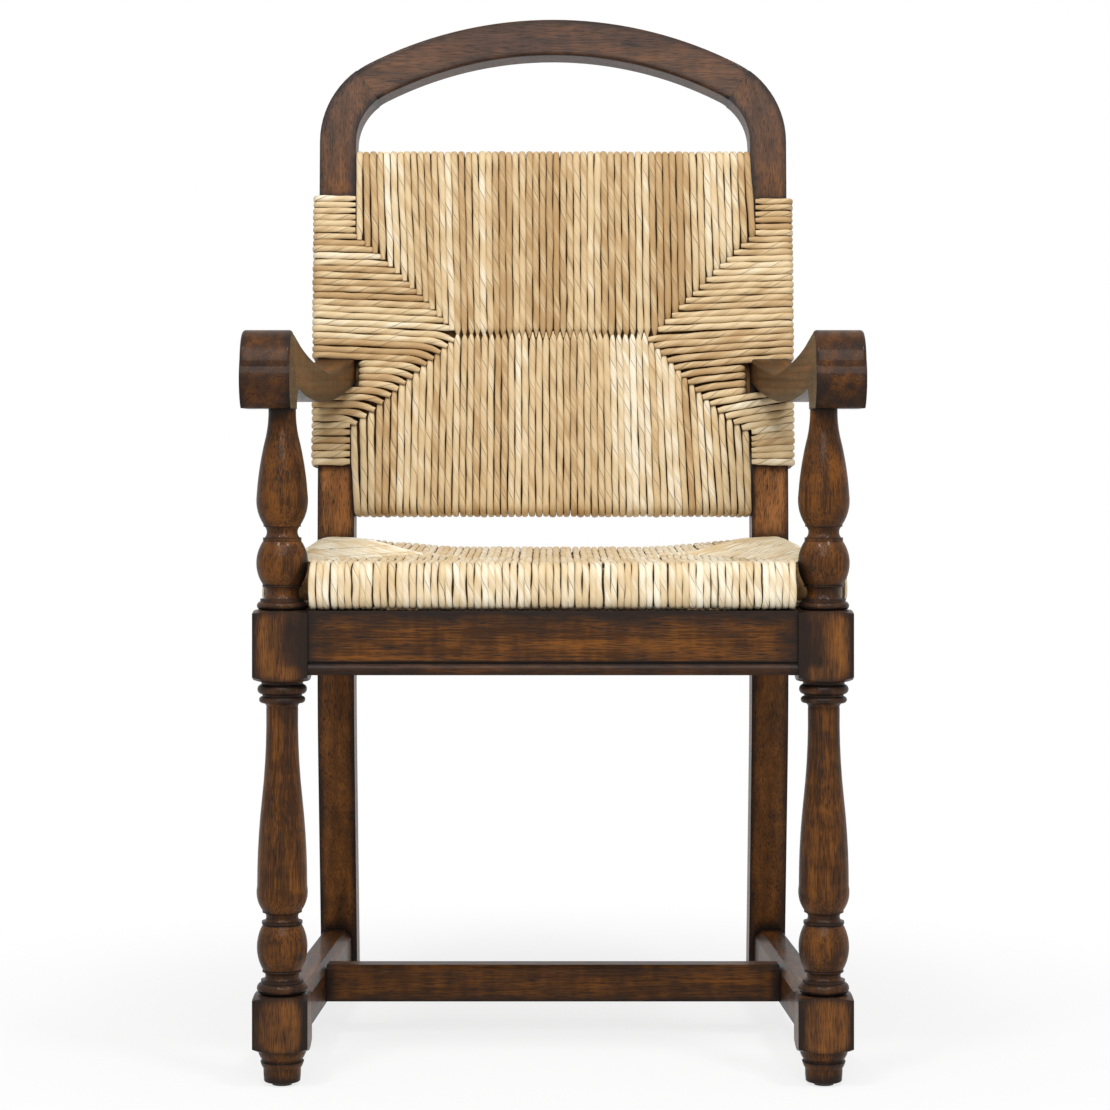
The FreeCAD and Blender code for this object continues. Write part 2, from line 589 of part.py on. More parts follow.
def side_stretcher(side, sign):
    """Low stretcher from the lower block to the kicked rear leg, its inner top edge bevelled."""
    body = new_body(f"side_stretcher_{side}", "0", "block_back", "stretcher_base")
    half, span = "stretcher_width / 2", "stretcher_far - block_back"
    plan = outline(sketch_on(body, "plan", "XY_Plane"), [
        (f"{sign} * (front_post_x - {half})", "0"), (f"{sign} * (front_post_x + {half})", "0"),
        (f"{sign} * (rear_post_x + {half})", span), (f"{sign} * (rear_post_x - {half})", span)])
    feature(body, "Pad", "rail", plan, Length="stretcher_height")
    dress_edges(body, "Chamfer", "inner_bevel", "stretcher_bevel", lambda edge, spot: (
        edge.Length > value("stretcher_height") * 2 and abs(spot.z - value("stretcher_height")) < SAME
        and abs(spot.x) < value("(front_post_x + rear_post_x) / 2")))
    waste = outline(sketch_on(body, "leg_face", "YZ_Plane"), [
        (span, "0"), (f"{span} + stretcher_height", "0"), (f"{span} + stretcher_height", "stretcher_height"),
        ("stretcher_near - block_back", "stretcher_height")])
    feature(body, "Pocket", "leg_cut", waste, Length="front_post_spacing * 2", SideType="Symmetric")
    up = ("stretcher_base + tenon_shoulder", "stretcher_top - stretcher_bevel - tenon_shoulder / 2")
    tenon(body, front_posts[side], "front_tenon", (f"{sign} * front_post_x", "tenon_thickness"),
          ("block_back - stretcher_tenon_length", "block_back"), up)
    tenon(body, rear_posts[side], "rear_tenon", (f"{sign} * rear_post_x", "tenon_thickness"),
          ("stretcher_near", "stretcher_near + stretcher_tenon_length"), up)
    return body


def cross_stretcher(stretchers):
    """Middle bar of the H, between the side stretchers, its top edges bevelled."""
    body = new_body("cross_stretcher", "0", "cross_y", "cross_base")
    half = "stretcher_width / 2"
    near, far = f"(cross_end - stretcher_slope * {half})", f"(cross_end + stretcher_slope * {half})"
    plan = outline(sketch_on(body, "plan", "XY_Plane"), [
        (f"-{near}", f"-{half}"), (near, f"-{half}"), (far, half), (f"-{far}", half)])
    feature(body, "Pad", "rail", plan, Length="cross_stretcher_height")
    dress_edges(body, "Chamfer", "top_bevel", "cross_stretcher_bevel", lambda edge, spot: (
        edge.Length > value("stretcher_height") * 2
        and abs(spot.z - value("cross_stretcher_height")) < SAME))
    up = ("cross_base + tenon_shoulder",
          "cross_base + cross_stretcher_height - stretcher_bevel - tenon_shoulder")
    through = middle_of("cross_y", "cross_y", "tenon_thickness")
    for side, sign in SIDES.items():
        across = (f"{sign} * (cross_end + tenon_web)", "cross_tenon_length + tenon_web")
        tenon(body, stretchers[side], f"tenon_{side}", across, through, up)
    return body


front_rail = front_seat_rail()
side_rails = {side: side_seat_rail(side, sign) for side, sign in SIDES.items()}
rear_rail = rear_seat_rail()
side_stretchers = {side: side_stretcher(side, sign) for side, sign in SIDES.items()}
cross_bar = cross_stretcher(side_stretchers)


def arm(side, sign):
    """Arm sawn to a swoop from the side and to a taper in plan, with a rolled front over the post."""
    body = new_body(f"arm_{side}", f"{sign} * front_post_x", "front_post_y", "arm_base")

    def rear(height):
        return f"seat_post_gap + (arm_base + {height} - back_bend_height) * tan(back_rake)"

    def sweep(start, end, share="arm_sweep"):
        return f"{start} + ({end} - {start}) * {share}"

    cove = "arm_step_height * (1 - sqrt(2) / 2)"
    step = "(arm_block_length + arm_step_height)"
    tail = rear("arm_hollow_height")
    profile = outline(sketch_on(body, "side", "YZ_Plane"), [
        ("arm_chin - arm_reach", "0", "arm_chin_sweep - arm_reach", "arm_nose_height * arm_sweep"),
        ("arm_block_length", "0"),
        (step, "arm_step_height", f"arm_block_length + {cove}", f"arm_step_height - {cove}"),
        ("arm_dip_place", "arm_dip_bottom", f"({step} + arm_dip_place) / 2",
         sweep("arm_dip_bottom", "arm_step_height")),
        (rear("arm_rear_bottom"), "arm_rear_bottom", f"(arm_dip_place + {tail}) / 2",
         sweep("arm_dip_bottom", "arm_rear_bottom")),
        (rear("arm_rear_top"), "arm_rear_top"),
        ("arm_hollow_place", "arm_hollow_height", f"(arm_hollow_place + {tail}) / 2",
         sweep("arm_hollow_height", "arm_rear_top")),
        ("arm_shoulder_place", "arm_shoulder_height", "(arm_hollow_place + arm_shoulder_place) / 2",
         sweep("arm_hollow_height", "arm_shoulder_height", "arm_fall_sweep")),
        ("arm_crown_place", "arm_front_height", "(arm_shoulder_place + arm_crown_place) / 2",
         sweep("arm_shoulder_height", "arm_front_height", "arm_crown_sweep")),
        ("-arm_reach", "arm_nose_height", "arm_roll - arm_reach", "arm_front_height - arm_roll")])
    feature(body, "Pad", "swoop", profile, Length="arm_blank_width", SideType="Symmetric")
    drawn_in = "(rear_post_x - front_post_x)"
    end = rear("arm_rear_top")
    plan = sketch_on(body, "plan", "XY_Plane")
    for hand in ("-1", "1"):
        front_x = f"{sign} * (arm_offset + {hand} * arm_width / 2)"
        rear_x = f"{sign} * ({drawn_in} + {hand} * arm_rear_width / 2)"
        bow_x = f"({front_x} + {rear_x}) / 2 + {sign} * arm_side_sweep"
        waste_x = f"{sign} * {hand} * arm_blank_width / 2"
        outline(plan, [
            (waste_x, "-2 * arm_reach"), (front_x, "-2 * arm_reach"), (front_x, "arm_block_length"),
            (rear_x, end, bow_x, "arm_dip_place"), (rear_x, f"({end}) + arm_width"),
            (waste_x, f"({end}) + arm_width")])
    feature(body, "Pocket", "plan_cut", plan, Length="arm_blank_width", SideType="Symmetric")
    dress_edges(body, "Fillet", "softened", "arm_edge_round", lambda edge, spot: (
        edge.BoundBox.XLength < value("arm_rear_width") / 2 and spot.z > value("arm_step_height")
        and spot.y < value("seat_post_gap") - value("arm_rear_width")))
    drill(body, "post_hole", "arm_tenon_diameter + 2 * joint_clearance", "arm_base - joint_clearance",
          "arm_base + arm_tenon_length + joint_clearance", f"{sign} * front_post_x", "front_post_y")
    middle = middle_of("arm_rear_bottom", "arm_rear_top", "tenon_thickness")
    up = (f"arm_base + {middle[0]}", f"arm_base + {middle[1]}")
    through = (f"front_post_y + {rear('arm_rear_bottom')} - tenon_shoulder",
               f"front_post_y + {rear('arm_rear_top')} + arm_rear_tenon_length")
    tenon(body, rear_posts[side], "rear_tenon", (f"{sign} * rear_post_x", "2 * tenon_thickness"), through, up)
    return body


arms = {side: arm(side, sign) for side, sign in SIDES.items()}


def crest_rail():
    """Sawn arch between the shoulders of the posts: one wide arc with the ends of the shoulder arcs."""
    body = new_back_body("crest_rail")

    def shoulder(sign, radius, angle):
        return (f"{sign} * (shoulder_x + ({radius}) * cos({angle}))",
                f"shoulder_rise + ({radius}) * sin({angle})")

    def crown(sign, radius):
        return (f"{sign} * ({radius}) * cos(crest_tangent)",
                f"crest_centre + ({radius}) * sin(crest_tangent)")

    between = "(crest_joint_angle + crest_tangent) / 2"
    outer, inner = "shoulder_radius", "(shoulder_radius - rear_post_width)"
    top, under = "crest_radius", "(crest_radius - rear_post_width)"
    profile = outline(sketch_on(body, "arch", "XZ_Plane"), [
        shoulder("1", outer, "crest_joint_angle"),
        crown("1", top) + shoulder("1", outer, between),
        crown("-1", top) + ("0", f"crest_centre + {top}"),
        shoulder("-1", outer, "crest_joint_angle") + shoulder("-1", outer, between),
        shoulder("-1", inner, "crest_joint_angle"),
        crown("-1", under) + shoulder("-1", inner, between),
        crown("1", under) + ("0", f"crest_centre + {under}"),
        shoulder("1", inner, "crest_joint_angle") + shoulder("1", inner, between)])
    feature(body, "Pad", "sawn", profile, Length="rear_post_depth", Reversed=True)
    dress_edges(body, "Fillet", "softened", "crest_edge_round", lambda edge, spot: (
        edge.BoundBox.YLength < SAME and edge.Length > value("rear_post_width") * 2))
    return body


crest = crest_rail()


def back_rail(name, base):
    """Rail between the rear posts that carries the back's upright cords."""
    body = new_back_body(name)
    through = ("back_rail_front", "back_rail_front + back_rail_depth")
    up = (base, f"{base} + back_rail_height")
    box(body, "Additive", "rail", ("0", "2 * rear_inner"), through, up, raked=True)
    tenon_through = middle_of(*through, "tenon_thickness")
    tenon_up = (f"{up[0]} + tenon_shoulder", f"{up[1]} - tenon_shoulder")
    for side, sign in SIDES.items():
        across = (f"{sign} * (rear_inner + back_rail_tenon / 2)", "back_rail_tenon")
        tenon(body, rear_posts[side], f"tenon_{side}", across, tenon_through, tenon_up, raked=True)
    return body


def loft_cut(body, name, wide, narrow):
    """Cut a shallow valley from a wide outline down to a narrow one."""
    made = body.newObject("PartDesign::SubtractiveLoft", f"{body.Label}_{name}")
    made.Profile = wide
    made.Sections = [narrow]
    made.Ruled = True
    for sketch in (wide, narrow):
        sketch.Visibility = False
    return made


def rectangle(sketch, left, right, low, high):
    """A rectangle between four formulas."""
    return outline(sketch, [(left, low), (right, low), (right, high), (left, high)])


def back_weave():
    """Rush panel between the posts, rolled over the back rails, its side cords wrapped round the posts."""
    body = new_back_body("back_weave")
    through = ("-cord_diameter", "rear_post_depth + cord_diameter")
    panel_width = "2 * (rear_inner - weave_clearance)"
    wrap_width = "2 * (rear_outer + cord_diameter)"
    box(body, "Additive", "panel", ("0", panel_width), through, ("back_weave_base", "back_weave_top"),
        raked=True)
    dress_edges(body, "Fillet", "rolled", "back_roll_radius", lambda edge, spot: (
        edge.Length > value("rear_post_spacing") / 2 and abs(spot.x) < SAME))
    box(body, "Additive", "wraps", ("0", wrap_width), through, ("back_wrap_base", "back_wrap_top"),
        raked=True)
    dress_edges(body, "Fillet", "wrapped", "cord_diameter", lambda edge, spot: (
        abs(abs(spot.x) - value(wrap_width) / 2) < SAME
        and edge.Length > value("back_wrap_top - back_wrap_base") / 2))
    middle = "(back_weave_base + back_weave_top) / 2"
    for face, near in (("front", "1"), ("rear", "-1")):
        level = "cord_diameter" if face == "front" else "-(rear_post_depth + cord_diameter)"
        wide = sketch_on(body, f"{face}_valley", "XZ_Plane", ("0", "0", level))
        rectangle(wide, "back_pillow_width - rear_inner", "rear_inner - back_pillow_width",
                  "back_weave_base + back_pillow_width", "back_weave_top - back_pillow_width")
        seam = sketch_on(body, f"{face}_seam", "XZ_Plane", ("0", "0", f"{level} - {near} * back_valley"))
        rectangle(seam, "-back_seam_length / 2", "back_seam_length / 2",
                  f"{middle} - cord_diameter", f"{middle} + cord_diameter")
        loft_cut(body, f"{face}_valley_cut", wide, seam)
    past = "cord_diameter + weave_clearance"
    for side, sign in SIDES.items():
        box(body, "Subtractive", f"post_{side}",
            (f"{sign} * rear_post_x", "rear_post_width + 2 * weave_clearance"),
            ("-weave_clearance", "rear_post_depth + weave_clearance"),
            ("back_wrap_base - weave_clearance", "back_wrap_top + weave_clearance"), raked=True)
        gap_inner = "(rear_post_x - arm_rear_width / 2 - seat_clearance)"
        gap_outer = f"(rear_outer + {past})"
        box(body, "Subtractive", f"arm_gap_{side}", (f"{sign} * ({gap_inner} + {gap_outer}) / 2",
            f"{gap_outer} - {gap_inner}"), (f"-({past})", f"rear_post_depth + {past}"),
            ("arm_gap_base", "arm_gap_top"), raked=True)
    box(body, "Subtractive", "inside", ("0", "2 * rear_inner"),
        ("back_rail_front", "back_rail_front + back_rail_depth"),
        ("lower_rail_base", "upper_rail_base + back_rail_height"), raked=True)
    return body


def back_stuffing():
    """Packing between the two faces of the back, from rail to rail."""
    body = new_back_body("back_stuffing")
    box(body, "Additive", "pack", ("0", "2 * (rear_inner - weave_clearance)"),
        ("back_rail_front + weave_clearance", "back_rail_front + back_rail_depth - weave_clearance"),
        ("lower_rail_base + back_rail_height", "upper_rail_base"), raked=True)
    return body


back_rails = [back_rail(f"{end}_back_rail", f"{end}_rail_base") for end in ("upper", "lower")]
back_panel = back_weave()
back_pack = back_stuffing()


def mirrored(half):
    """Close a half outline, given from front to back on the right, with its mirror image."""
    return half + [(f"-({x})", y) for x, y in reversed(half)]


def seat_plate(body, name, half, kind, length, level="0", **settings):
    """Pad or pocket a symmetrical plan outline."""
    sketch = outline(sketch_on(body, name, "XY_Plane", ("0", "0", level)), mirrored(half))
    return feature(body, kind, f"{name}_{kind.lower()}", sketch, Length=length, **settings)


FRAME_OUTLINE = [
    ("frame_notch_x", "frame_front"), ("frame_notch_x", "frame_notch_y"),
    ("frame_side_front", "frame_notch_y"), ("frame_side_rear", "frame_rear_notch_y"),
    ("frame_rear_notch_x", "frame_rear_notch_y"), ("frame_rear_notch_x", "frame_rear")]
SCREW_PLACES = {"front": ("screw_front_x", "screw_front_y"), "rear": ("screw_rear_x", "screw_rear_y")}


def seat_weave():
    """Rush seat rolled over its frame and notched round the posts, higher at the edges than at the seam."""
    body = new_body("seat_weave", z="rail_top")
    seat_plate(body, "plan", [
        ("seat_notch_x", "seat_front"), ("seat_notch_x", "seat_notch_y"), ("block_outer", "seat_notch_y"),
        ("seat_side_rear", "seat_rear_notch_y"), ("seat_rear_notch_x", "seat_rear_notch_y"),
        ("seat_rear_notch_x", "seat_rear")], "Pad", "seat_height")
    for name, radius, chosen in (
            ("ends_rolled", "seat_roll_radius", lambda spot: abs(spot.x) < SAME),
            ("sides_rolled", "seat_side_roll_radius", lambda spot: abs(spot.x) > value("seat_side_rear"))):
        dress_edges(body, "Fillet", name, radius, lambda edge, spot: (
            abs(spot.z - value("seat_height")) < SAME and chosen(spot)))
    wide = sketch_on(body, "valley", "XY_Plane", ("0", "0", "seat_height"))
    outline(wide, mirrored([("block_outer - seat_pillow_width", "seat_front + seat_pillow_width"),
                            ("seat_side_rear - seat_pillow_width", "seat_rear - seat_pillow_width")]))
    seam = sketch_on(body, "seam", "XY_Plane", ("0", "0", "seat_height - seat_valley"))
    middle = "(seat_front + seat_rear) / 2"
    rectangle(seam, "-seat_seam_length / 2", "seat_seam_length / 2",
              f"{middle} - cord_diameter", f"{middle} + cord_diameter")
    loft_cut(body, "valley_cut", wide, seam)
    seat_plate(body, "inside", FRAME_OUTLINE, "Pocket", "frame_height", "cord_diameter", Reversed=True)
    drill_screw_holes(body, "rail_top - joint_clearance", "frame_base + joint_clearance")
    return body


def drill_screw_holes(body, low, high, only=None):
    """Clearance holes for the seat screws."""
    for end, (x, y) in SCREW_PLACES.items():
        for side, sign in SIDES.items():
            if only in (None, (end, side)):
                drill(body, f"screw_{end}_{side}", "screw_diameter + 2 * joint_clearance", low, high,
                      f"{sign} * {x}", y)


def seat_frame_board(name, half):
    """Front or rear board of the seat frame."""
    body = new_body(name, z="frame_base")
    seat_plate(body, "plan", half, "Pad", "frame_height")
    return body


def seat_frame_side(side, sign):
    """Side board of the seat frame, between the notches for the posts."""
    body = new_body(f"seat_frame_{side}", z="frame_base")
    plan = outline(sketch_on(body, "plan", "XY_Plane"), [
        (f"{sign} * frame_notch_x", "frame_notch_y"), (f"{sign} * frame_side_front", "frame_notch_y"),
        (f"{sign} * frame_side_rear", "frame_rear_notch_y"),
        (f"{sign} * frame_rear_notch_x", "frame_rear_notch_y")])
    feature(body, "Pad", "board", plan, Length="frame_height")
    return body


def seat_stuffing():
    """Packing inside the seat frame, between the upper and lower cords."""
    body = new_body("seat_stuffing", z="frame_base")
    seat_plate(body, "plan", [("front_board_x", "front_board_back"), ("rear_board_x", "rear_board_front")],
               "Pad", "frame_height")
    return body


seat = seat_weave()
SCREW_TOP = "rail_top - corner_block_height + screw_length"
frame_front = seat_frame_board("seat_frame_front", [
    ("frame_notch_x", "frame_front"), ("frame_notch_x", "frame_notch_y"),
    ("front_board_x", "front_board_back")])
frame_rear = seat_frame_board("seat_frame_rear", [
    ("rear_board_x", "rear_board_front"), ("frame_rear_notch_x", "frame_rear_notch_y"),
    ("frame_rear_notch_x", "frame_rear")])
for end, board in (("front", frame_front), ("rear", frame_rear)):
    for side in SIDES:
        drill_screw_holes(board, "frame_base - joint_clearance",
                          f"{SCREW_TOP} + joint_clearance", (end, side))
frame_sides = [seat_frame_side(side, sign) for side, sign in SIDES.items()]
seat_pack = seat_stuffing()


def corner_block(end, side, sign):
    """Glued block across a corner of the seat rails, notched round the post."""
    body = new_body(f"corner_block_{end}_{side}", z="rail_top - corner_block_height")
    inward = "1" if end == "front" else "-1"
    rail_y = "front_rail_back" if end == "front" else "rear_rail_front"
    post_x = "block_inner" if end == "front" else "rear_inner"
    post_y = "block_back" if end == "front" else "rear_post_y"

    def side_face(y):
        return f"{sign} * (front_post_x - rail_thickness / 2 + side_slope * (({y}) - block_back))"

    far_y = f"{post_y} + {inward} * corner_block_leg"
    plan = outline(sketch_on(body, "plan", "XY_Plane"), [
        (f"{sign} * {post_x}", rail_y), (f"{sign} * ({post_x} - corner_block_leg)", rail_y),
        (side_face(far_y), far_y), (side_face(post_y), post_y), (f"{sign} * {post_x}", post_y)])
    feature(body, "Pad", "block", plan, Length="corner_block_height")
    drill_screw_holes(body, "rail_top - corner_block_height - joint_clearance", "rail_top + joint_clearance",
                      (end, side))
    return body


corner_blocks = [corner_block(end, side, sign) for end in SCREW_PLACES for side, sign in SIDES.items()]


def pin_and_head(name, pin, head, x, y):
    """A round pin with a round head, each a diameter with its low and high level."""
    solids = []
    for role, (diameter, low, high) in (("pin", pin), ("head", head)):
        solid = doc.addObject("Part::Cylinder", f"{name}_{role}")
        bind(solid, "Radius", f"({diameter}) / 2")
        bind(solid, "Height", f"({high}) - ({low})")
        for axis, formula in zip("xyz", (x, y, low)):
            bind(solid, f"Placement.Base.{axis}", formula)
        solids.append(solid)
    joined = doc.addObject("Part::Fuse", name)
    joined.Base, joined.Tool = solids
    return joined


def grouped(label, members):
    """One node of separate like solids."""
    group = doc.addObject("Part::Compound", label)
    group.Label = label
    group.Links = members
    return group


def seat_screws():
    """Screws up through the corner blocks and the lower cords into the seat frame."""
    base = "rail_top - corner_block_height"
    return grouped("seat_screws", [
        pin_and_head(f"screw_{end}_{side}", ("screw_diameter", base, SCREW_TOP),
                     ("screw_head_diameter", f"{base} - screw_head_height", base), f"{sign} * {x}", y)
        for end, (x, y) in SCREW_PLACES.items() for side, sign in SIDES.items()])


def foot_glides():
    """Pressed glides nailed under the four feet."""
    feet = {"front": ("front_post_x", "front_post_y"),
            "rear": ("rear_post_x", "rear_post_y + (leg_kick + foot_back) / 2")}
    return grouped("foot_glides", [
        pin_and_head(f"glide_{end}_{side}", ("glide_pin_diameter - 2 * joint_clearance", "0",
                     "glide_height + glide_pin_length - joint_clearance"),
                     ("glide_diameter", "0", "glide_height"), f"{sign} * {x}", y)
        for end, (x, y) in feet.items() for side, sign in SIDES.items()])


def crest_dowels():
    """Two dowels across each joint of the arch, with their holes in the crest and in the posts."""
    pegs = []
    lean = Rotation(Vector(1, 0, 0), -value("back_rake"))
    for side, sign in SIDES.items():
        turn = f"-({sign}) * crest_joint_angle"
        for place, shift in (("front", "-1"), ("rear", "1")):
            start = (f"{sign} * (dowel_x + dowel_length / 2 * sin(crest_joint_angle))",
                     f"(rear_post_depth + {shift} * dowel_spacing) / 2",
                     "dowel_rise - dowel_length / 2 * cos(crest_joint_angle)")
            peg = doc.addObject("Part::Cylinder", f"dowel_{side}_{place}")
            hole = crest.newObject("PartDesign::SubtractiveCylinder", f"crest_hole_{side}_{place}")
            for round_piece, gap in ((peg, "0"), (hole, "joint_clearance")):
                round_piece.Placement.Rotation = Rotation(Vector(0, 1, 0), value(turn))
                bind(round_piece, "Placement.Rotation.Angle", turn)
                for axis, formula in zip("xyz", start):
                    bind(round_piece, f"Placement.Base.{axis}", formula)
                bind(round_piece, "Radius", f"dowel_diameter / 2 + {gap}")
                bind(round_piece, "Height", f"dowel_length + {gap}")
            pegs.append(peg)
            post = rear_posts[side]
            socket = post.newObject("PartDesign::SubtractiveCylinder", f"{post.Label}_hole_{place}")
            spot = lean.multVec(Vector(*(value(formula) for formula in start)))
            spot += Vector(value(f"-{sign} * rear_post_x"), value("back_base_y - rear_post_y"),
                           value("back_base"))
            aim = lean.multiply(Rotation(Vector(0, 1, 0), value(turn)))
            socket.Placement = Placement(spot - aim.multVec(Vector(0, 0, value("joint_clearance"))), aim)
            bind(socket, "Radius", "dowel_diameter / 2 + joint_clearance")
            bind(socket, "Height", "dowel_length")
    group = grouped("crest_dowels", pegs)
    group.Placement = Placement(Vector(), lean)
    bind(group, "Placement.Rotation.Angle", "-back_rake")
    bind(group, "Placement.Base.y", "back_base_y")
    bind(group, "Placement.Base.z", "back_base")
    return group


groups = [seat_screws(), foot_glides(), crest_dowels()]
doc.recompute()

for thing in doc.Objects:
    if "Invalid" in thing.State or "Error" in thing.State:
        raise RuntimeError(f"{thing.Label} failed: {thing.getStatusString()}")
nodes = [thing for thing in doc.Objects if thing.TypeId == "PartDesign::Body"] + groups
for node in nodes:
    if node.Shape.isNull() or not node.Shape.isValid():
        raise RuntimeError(f"{node.Label} has no valid shape")
os.makedirs("parts", exist_ok=True)
for node in nodes:
    node.Shape.exportStep(f"parts/{node.Label}.step")
print(len(nodes), "nodes written")
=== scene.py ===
"""Looks of a dining armchair: glazed walnut frame with turned posts, rush woven over seat and back.

Metres, +Z up, the front faces -Y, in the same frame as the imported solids.
"""

import bpy
import numpy as np
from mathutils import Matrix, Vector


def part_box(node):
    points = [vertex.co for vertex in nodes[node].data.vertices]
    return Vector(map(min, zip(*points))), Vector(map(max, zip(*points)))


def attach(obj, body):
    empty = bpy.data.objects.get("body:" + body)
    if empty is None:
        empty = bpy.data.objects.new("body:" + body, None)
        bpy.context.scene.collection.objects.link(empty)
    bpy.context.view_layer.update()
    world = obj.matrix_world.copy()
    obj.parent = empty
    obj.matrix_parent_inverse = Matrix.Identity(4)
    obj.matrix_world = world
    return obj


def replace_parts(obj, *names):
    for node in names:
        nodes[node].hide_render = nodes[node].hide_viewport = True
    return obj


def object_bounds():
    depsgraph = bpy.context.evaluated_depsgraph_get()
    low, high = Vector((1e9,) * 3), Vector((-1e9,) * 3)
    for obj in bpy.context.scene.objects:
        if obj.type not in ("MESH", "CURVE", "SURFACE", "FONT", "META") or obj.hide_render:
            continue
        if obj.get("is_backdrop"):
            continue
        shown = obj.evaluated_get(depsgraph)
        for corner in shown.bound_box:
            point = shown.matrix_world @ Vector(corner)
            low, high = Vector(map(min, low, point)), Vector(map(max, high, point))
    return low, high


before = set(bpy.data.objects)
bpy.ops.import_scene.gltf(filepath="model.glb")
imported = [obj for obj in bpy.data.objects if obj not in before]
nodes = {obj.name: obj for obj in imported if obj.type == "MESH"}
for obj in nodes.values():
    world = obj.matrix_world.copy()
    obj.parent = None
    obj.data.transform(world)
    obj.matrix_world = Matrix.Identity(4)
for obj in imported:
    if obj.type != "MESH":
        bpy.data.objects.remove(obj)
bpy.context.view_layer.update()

# Front posts
# Each is turned from one walnut blank, foot to arm, with two square blocks left for the joints.
# The brown stain is glazed near-black; the glaze is wiped off the swells and stays in the coves.
# Painted shade darkens the coves further, the edges, and wherever other pieces come near.
NEAR_RAYS = 6


class Finish:
    """One socket of a finish's node tree; arithmetic on finishes and numbers adds Math nodes."""

    def __init__(self, tree, socket=None):
        self.tree = tree
        self.socket = socket

    def feed(self, made, sockets):
        """Give a node's sockets their values or links."""
        for name, given in sockets.items():
            if isinstance(given, Finish):
                self.tree.links.new(given.socket, made.inputs[name])
            else:
                made.inputs[name].default_value = given

    def node(self, kind, settings=None, sockets=None, output=0):
        """Add a node by its type: settings first, then the values or links of its sockets."""
        made = self.tree.nodes.new(f"ShaderNode{kind}")
        for name, setting in (settings or {}).items():
            setattr(made, name, setting)
        self.feed(made, sockets or {})
        return Finish(self.tree, made.outputs[output])

    def math(self, operation, *values):
        """A Math node on this value and others, in that order."""
        return self.node("Math", {"operation": operation}, dict(enumerate((self, *values))))

    def __add__(self, other):
        return self.math("ADD", other)

    def __mul__(self, other):
        return self.math("MULTIPLY", other)

    def __sub__(self, other):
        return self.math("SUBTRACT", other)

    def __rsub__(self, other):
        return self * -1 + other

    __radd__ = __add__
    __rmul__ = __mul__

    def rise(self, low, high):
        """0 below low and 1 above high, with a smooth step between."""
        return self.node("MapRange", {"interpolation_type": "SMOOTHSTEP"},
                         {"Value": self, "From Min": low, "From Max": high})

    def blend(self, under, over):
        """Two colours mixed, with this value as the share of the second."""
        return self.node("Mix", {"data_type": "RGBA"}, {0: self, 6: under, 7: over}, 2)

    def place(self):
        """Each point's place on the chair, in metres."""
        return self.node("TexCoord", output="Object")

    def axis(self, letter):
        """One coordinate of a place or of a map."""
        return self.node("SeparateXYZ", None, {0: self}, letter)

    def noise(self, octaves, scale=1.0):
        """Cloudy noise at a place, in cells of about one over the scale."""
        return self.node("TexNoise", None, {"Vector": self, "Scale": scale, "Detail": octaves})

    def drawn_noise(self, grain, across, along, octaves):
        """Noise in cells drawn out along axis 0, 1 or 2, of so many metres across it and along it."""
        counts = [1 / across] * 3
        counts[grain] = 1 / along
        return self.node("VectorMath", {"operation": "MULTIPLY"}, {0: self, 1: counts}).noise(octaves)

    def surface_near(self, reach, inside=False):
        """How much surface rays of a reach meet: outside a piece, or with inside, within it."""
        return 1 - self.node(
            "AmbientOcclusion", {"samples": NEAR_RAYS, "inside": inside, "only_local": inside},
            {"Distance": reach}, "AO")


def paint(red, green, blue):
    """A colour as the eye names it, 0 to 255, turned by the sRGB curve into a shader's linear colour."""
    share = np.array([red, green, blue]) / 255
    linear = np.where(share < 0.04045, share / 12.92, ((share + 0.055) / 1.055) ** 2.4)
    return (*linear, 1.0)


def new_finish(name):
    """A material with the start of its node tree and its shader."""
    material = bpy.data.materials.new(name)
    material.use_nodes = True
    return material, Finish(material.node_tree), material.node_tree.nodes["Principled BSDF"]


WALNUT = paint(66, 38, 13)
WALNUT_WARM = paint(116, 70, 26)
# Near-black of the glaze, also used for the painted shade in hollows and along edges
GLAZE_AND_SHADE = paint(30, 24, 22)
# Lighter walnut: rubbed stain on the blocks, and painted light on the rear posts
RUBBED_AND_LIT = paint(176, 118, 70)
# The wood's noises: metres across the grain, metres along it, octaves
BANDS, FIGURE, FIBRES = (0.011, 0.17, 3.0), (0.03, 0.013, 2.0), (0.0013, 0.05, 2.0)
PORES, PATCHES = (0.0006, 0.014, 1.0), (0.012, 0.05, 3.0)
BAND_SHARE, FIGURE_SHARE, FIBRE_SHARE = 0.8, 0.5, 0.5
# Reach of the rays that find hollows and edges, and levels from none to full of each mark
HOLLOW_REACH, EDGE_REACH = 0.018, 0.012
HOLLOW_LEVELS, EDGE_LEVELS = (0.1, 0.45), (0.14, 0.48)
WARM_LEVELS, PORE_LEVELS, UNWIPED_LEVELS = (0.97, 1.35), (0.5, 0.68), (0.6, 0.95)
# Glaze and painted shade that each mark keeps, and the most that they come to
HOLLOW_GLAZE_AND_SHADE, EDGE_SHADE, UNWIPED_GLAZE, PORE_GLAZE, MOST_GLAZE_AND_SHADE = 0.9, 0.92, 0.45, 0.6, 0.96
SOFT_EDGE = 0.0016
SATIN, SATIN_SPREAD = 0.3, 0.16
GRAIN_ACROSS, GRAIN_LENGTHWISE, GRAIN_UPRIGHT = 0, 1, 2


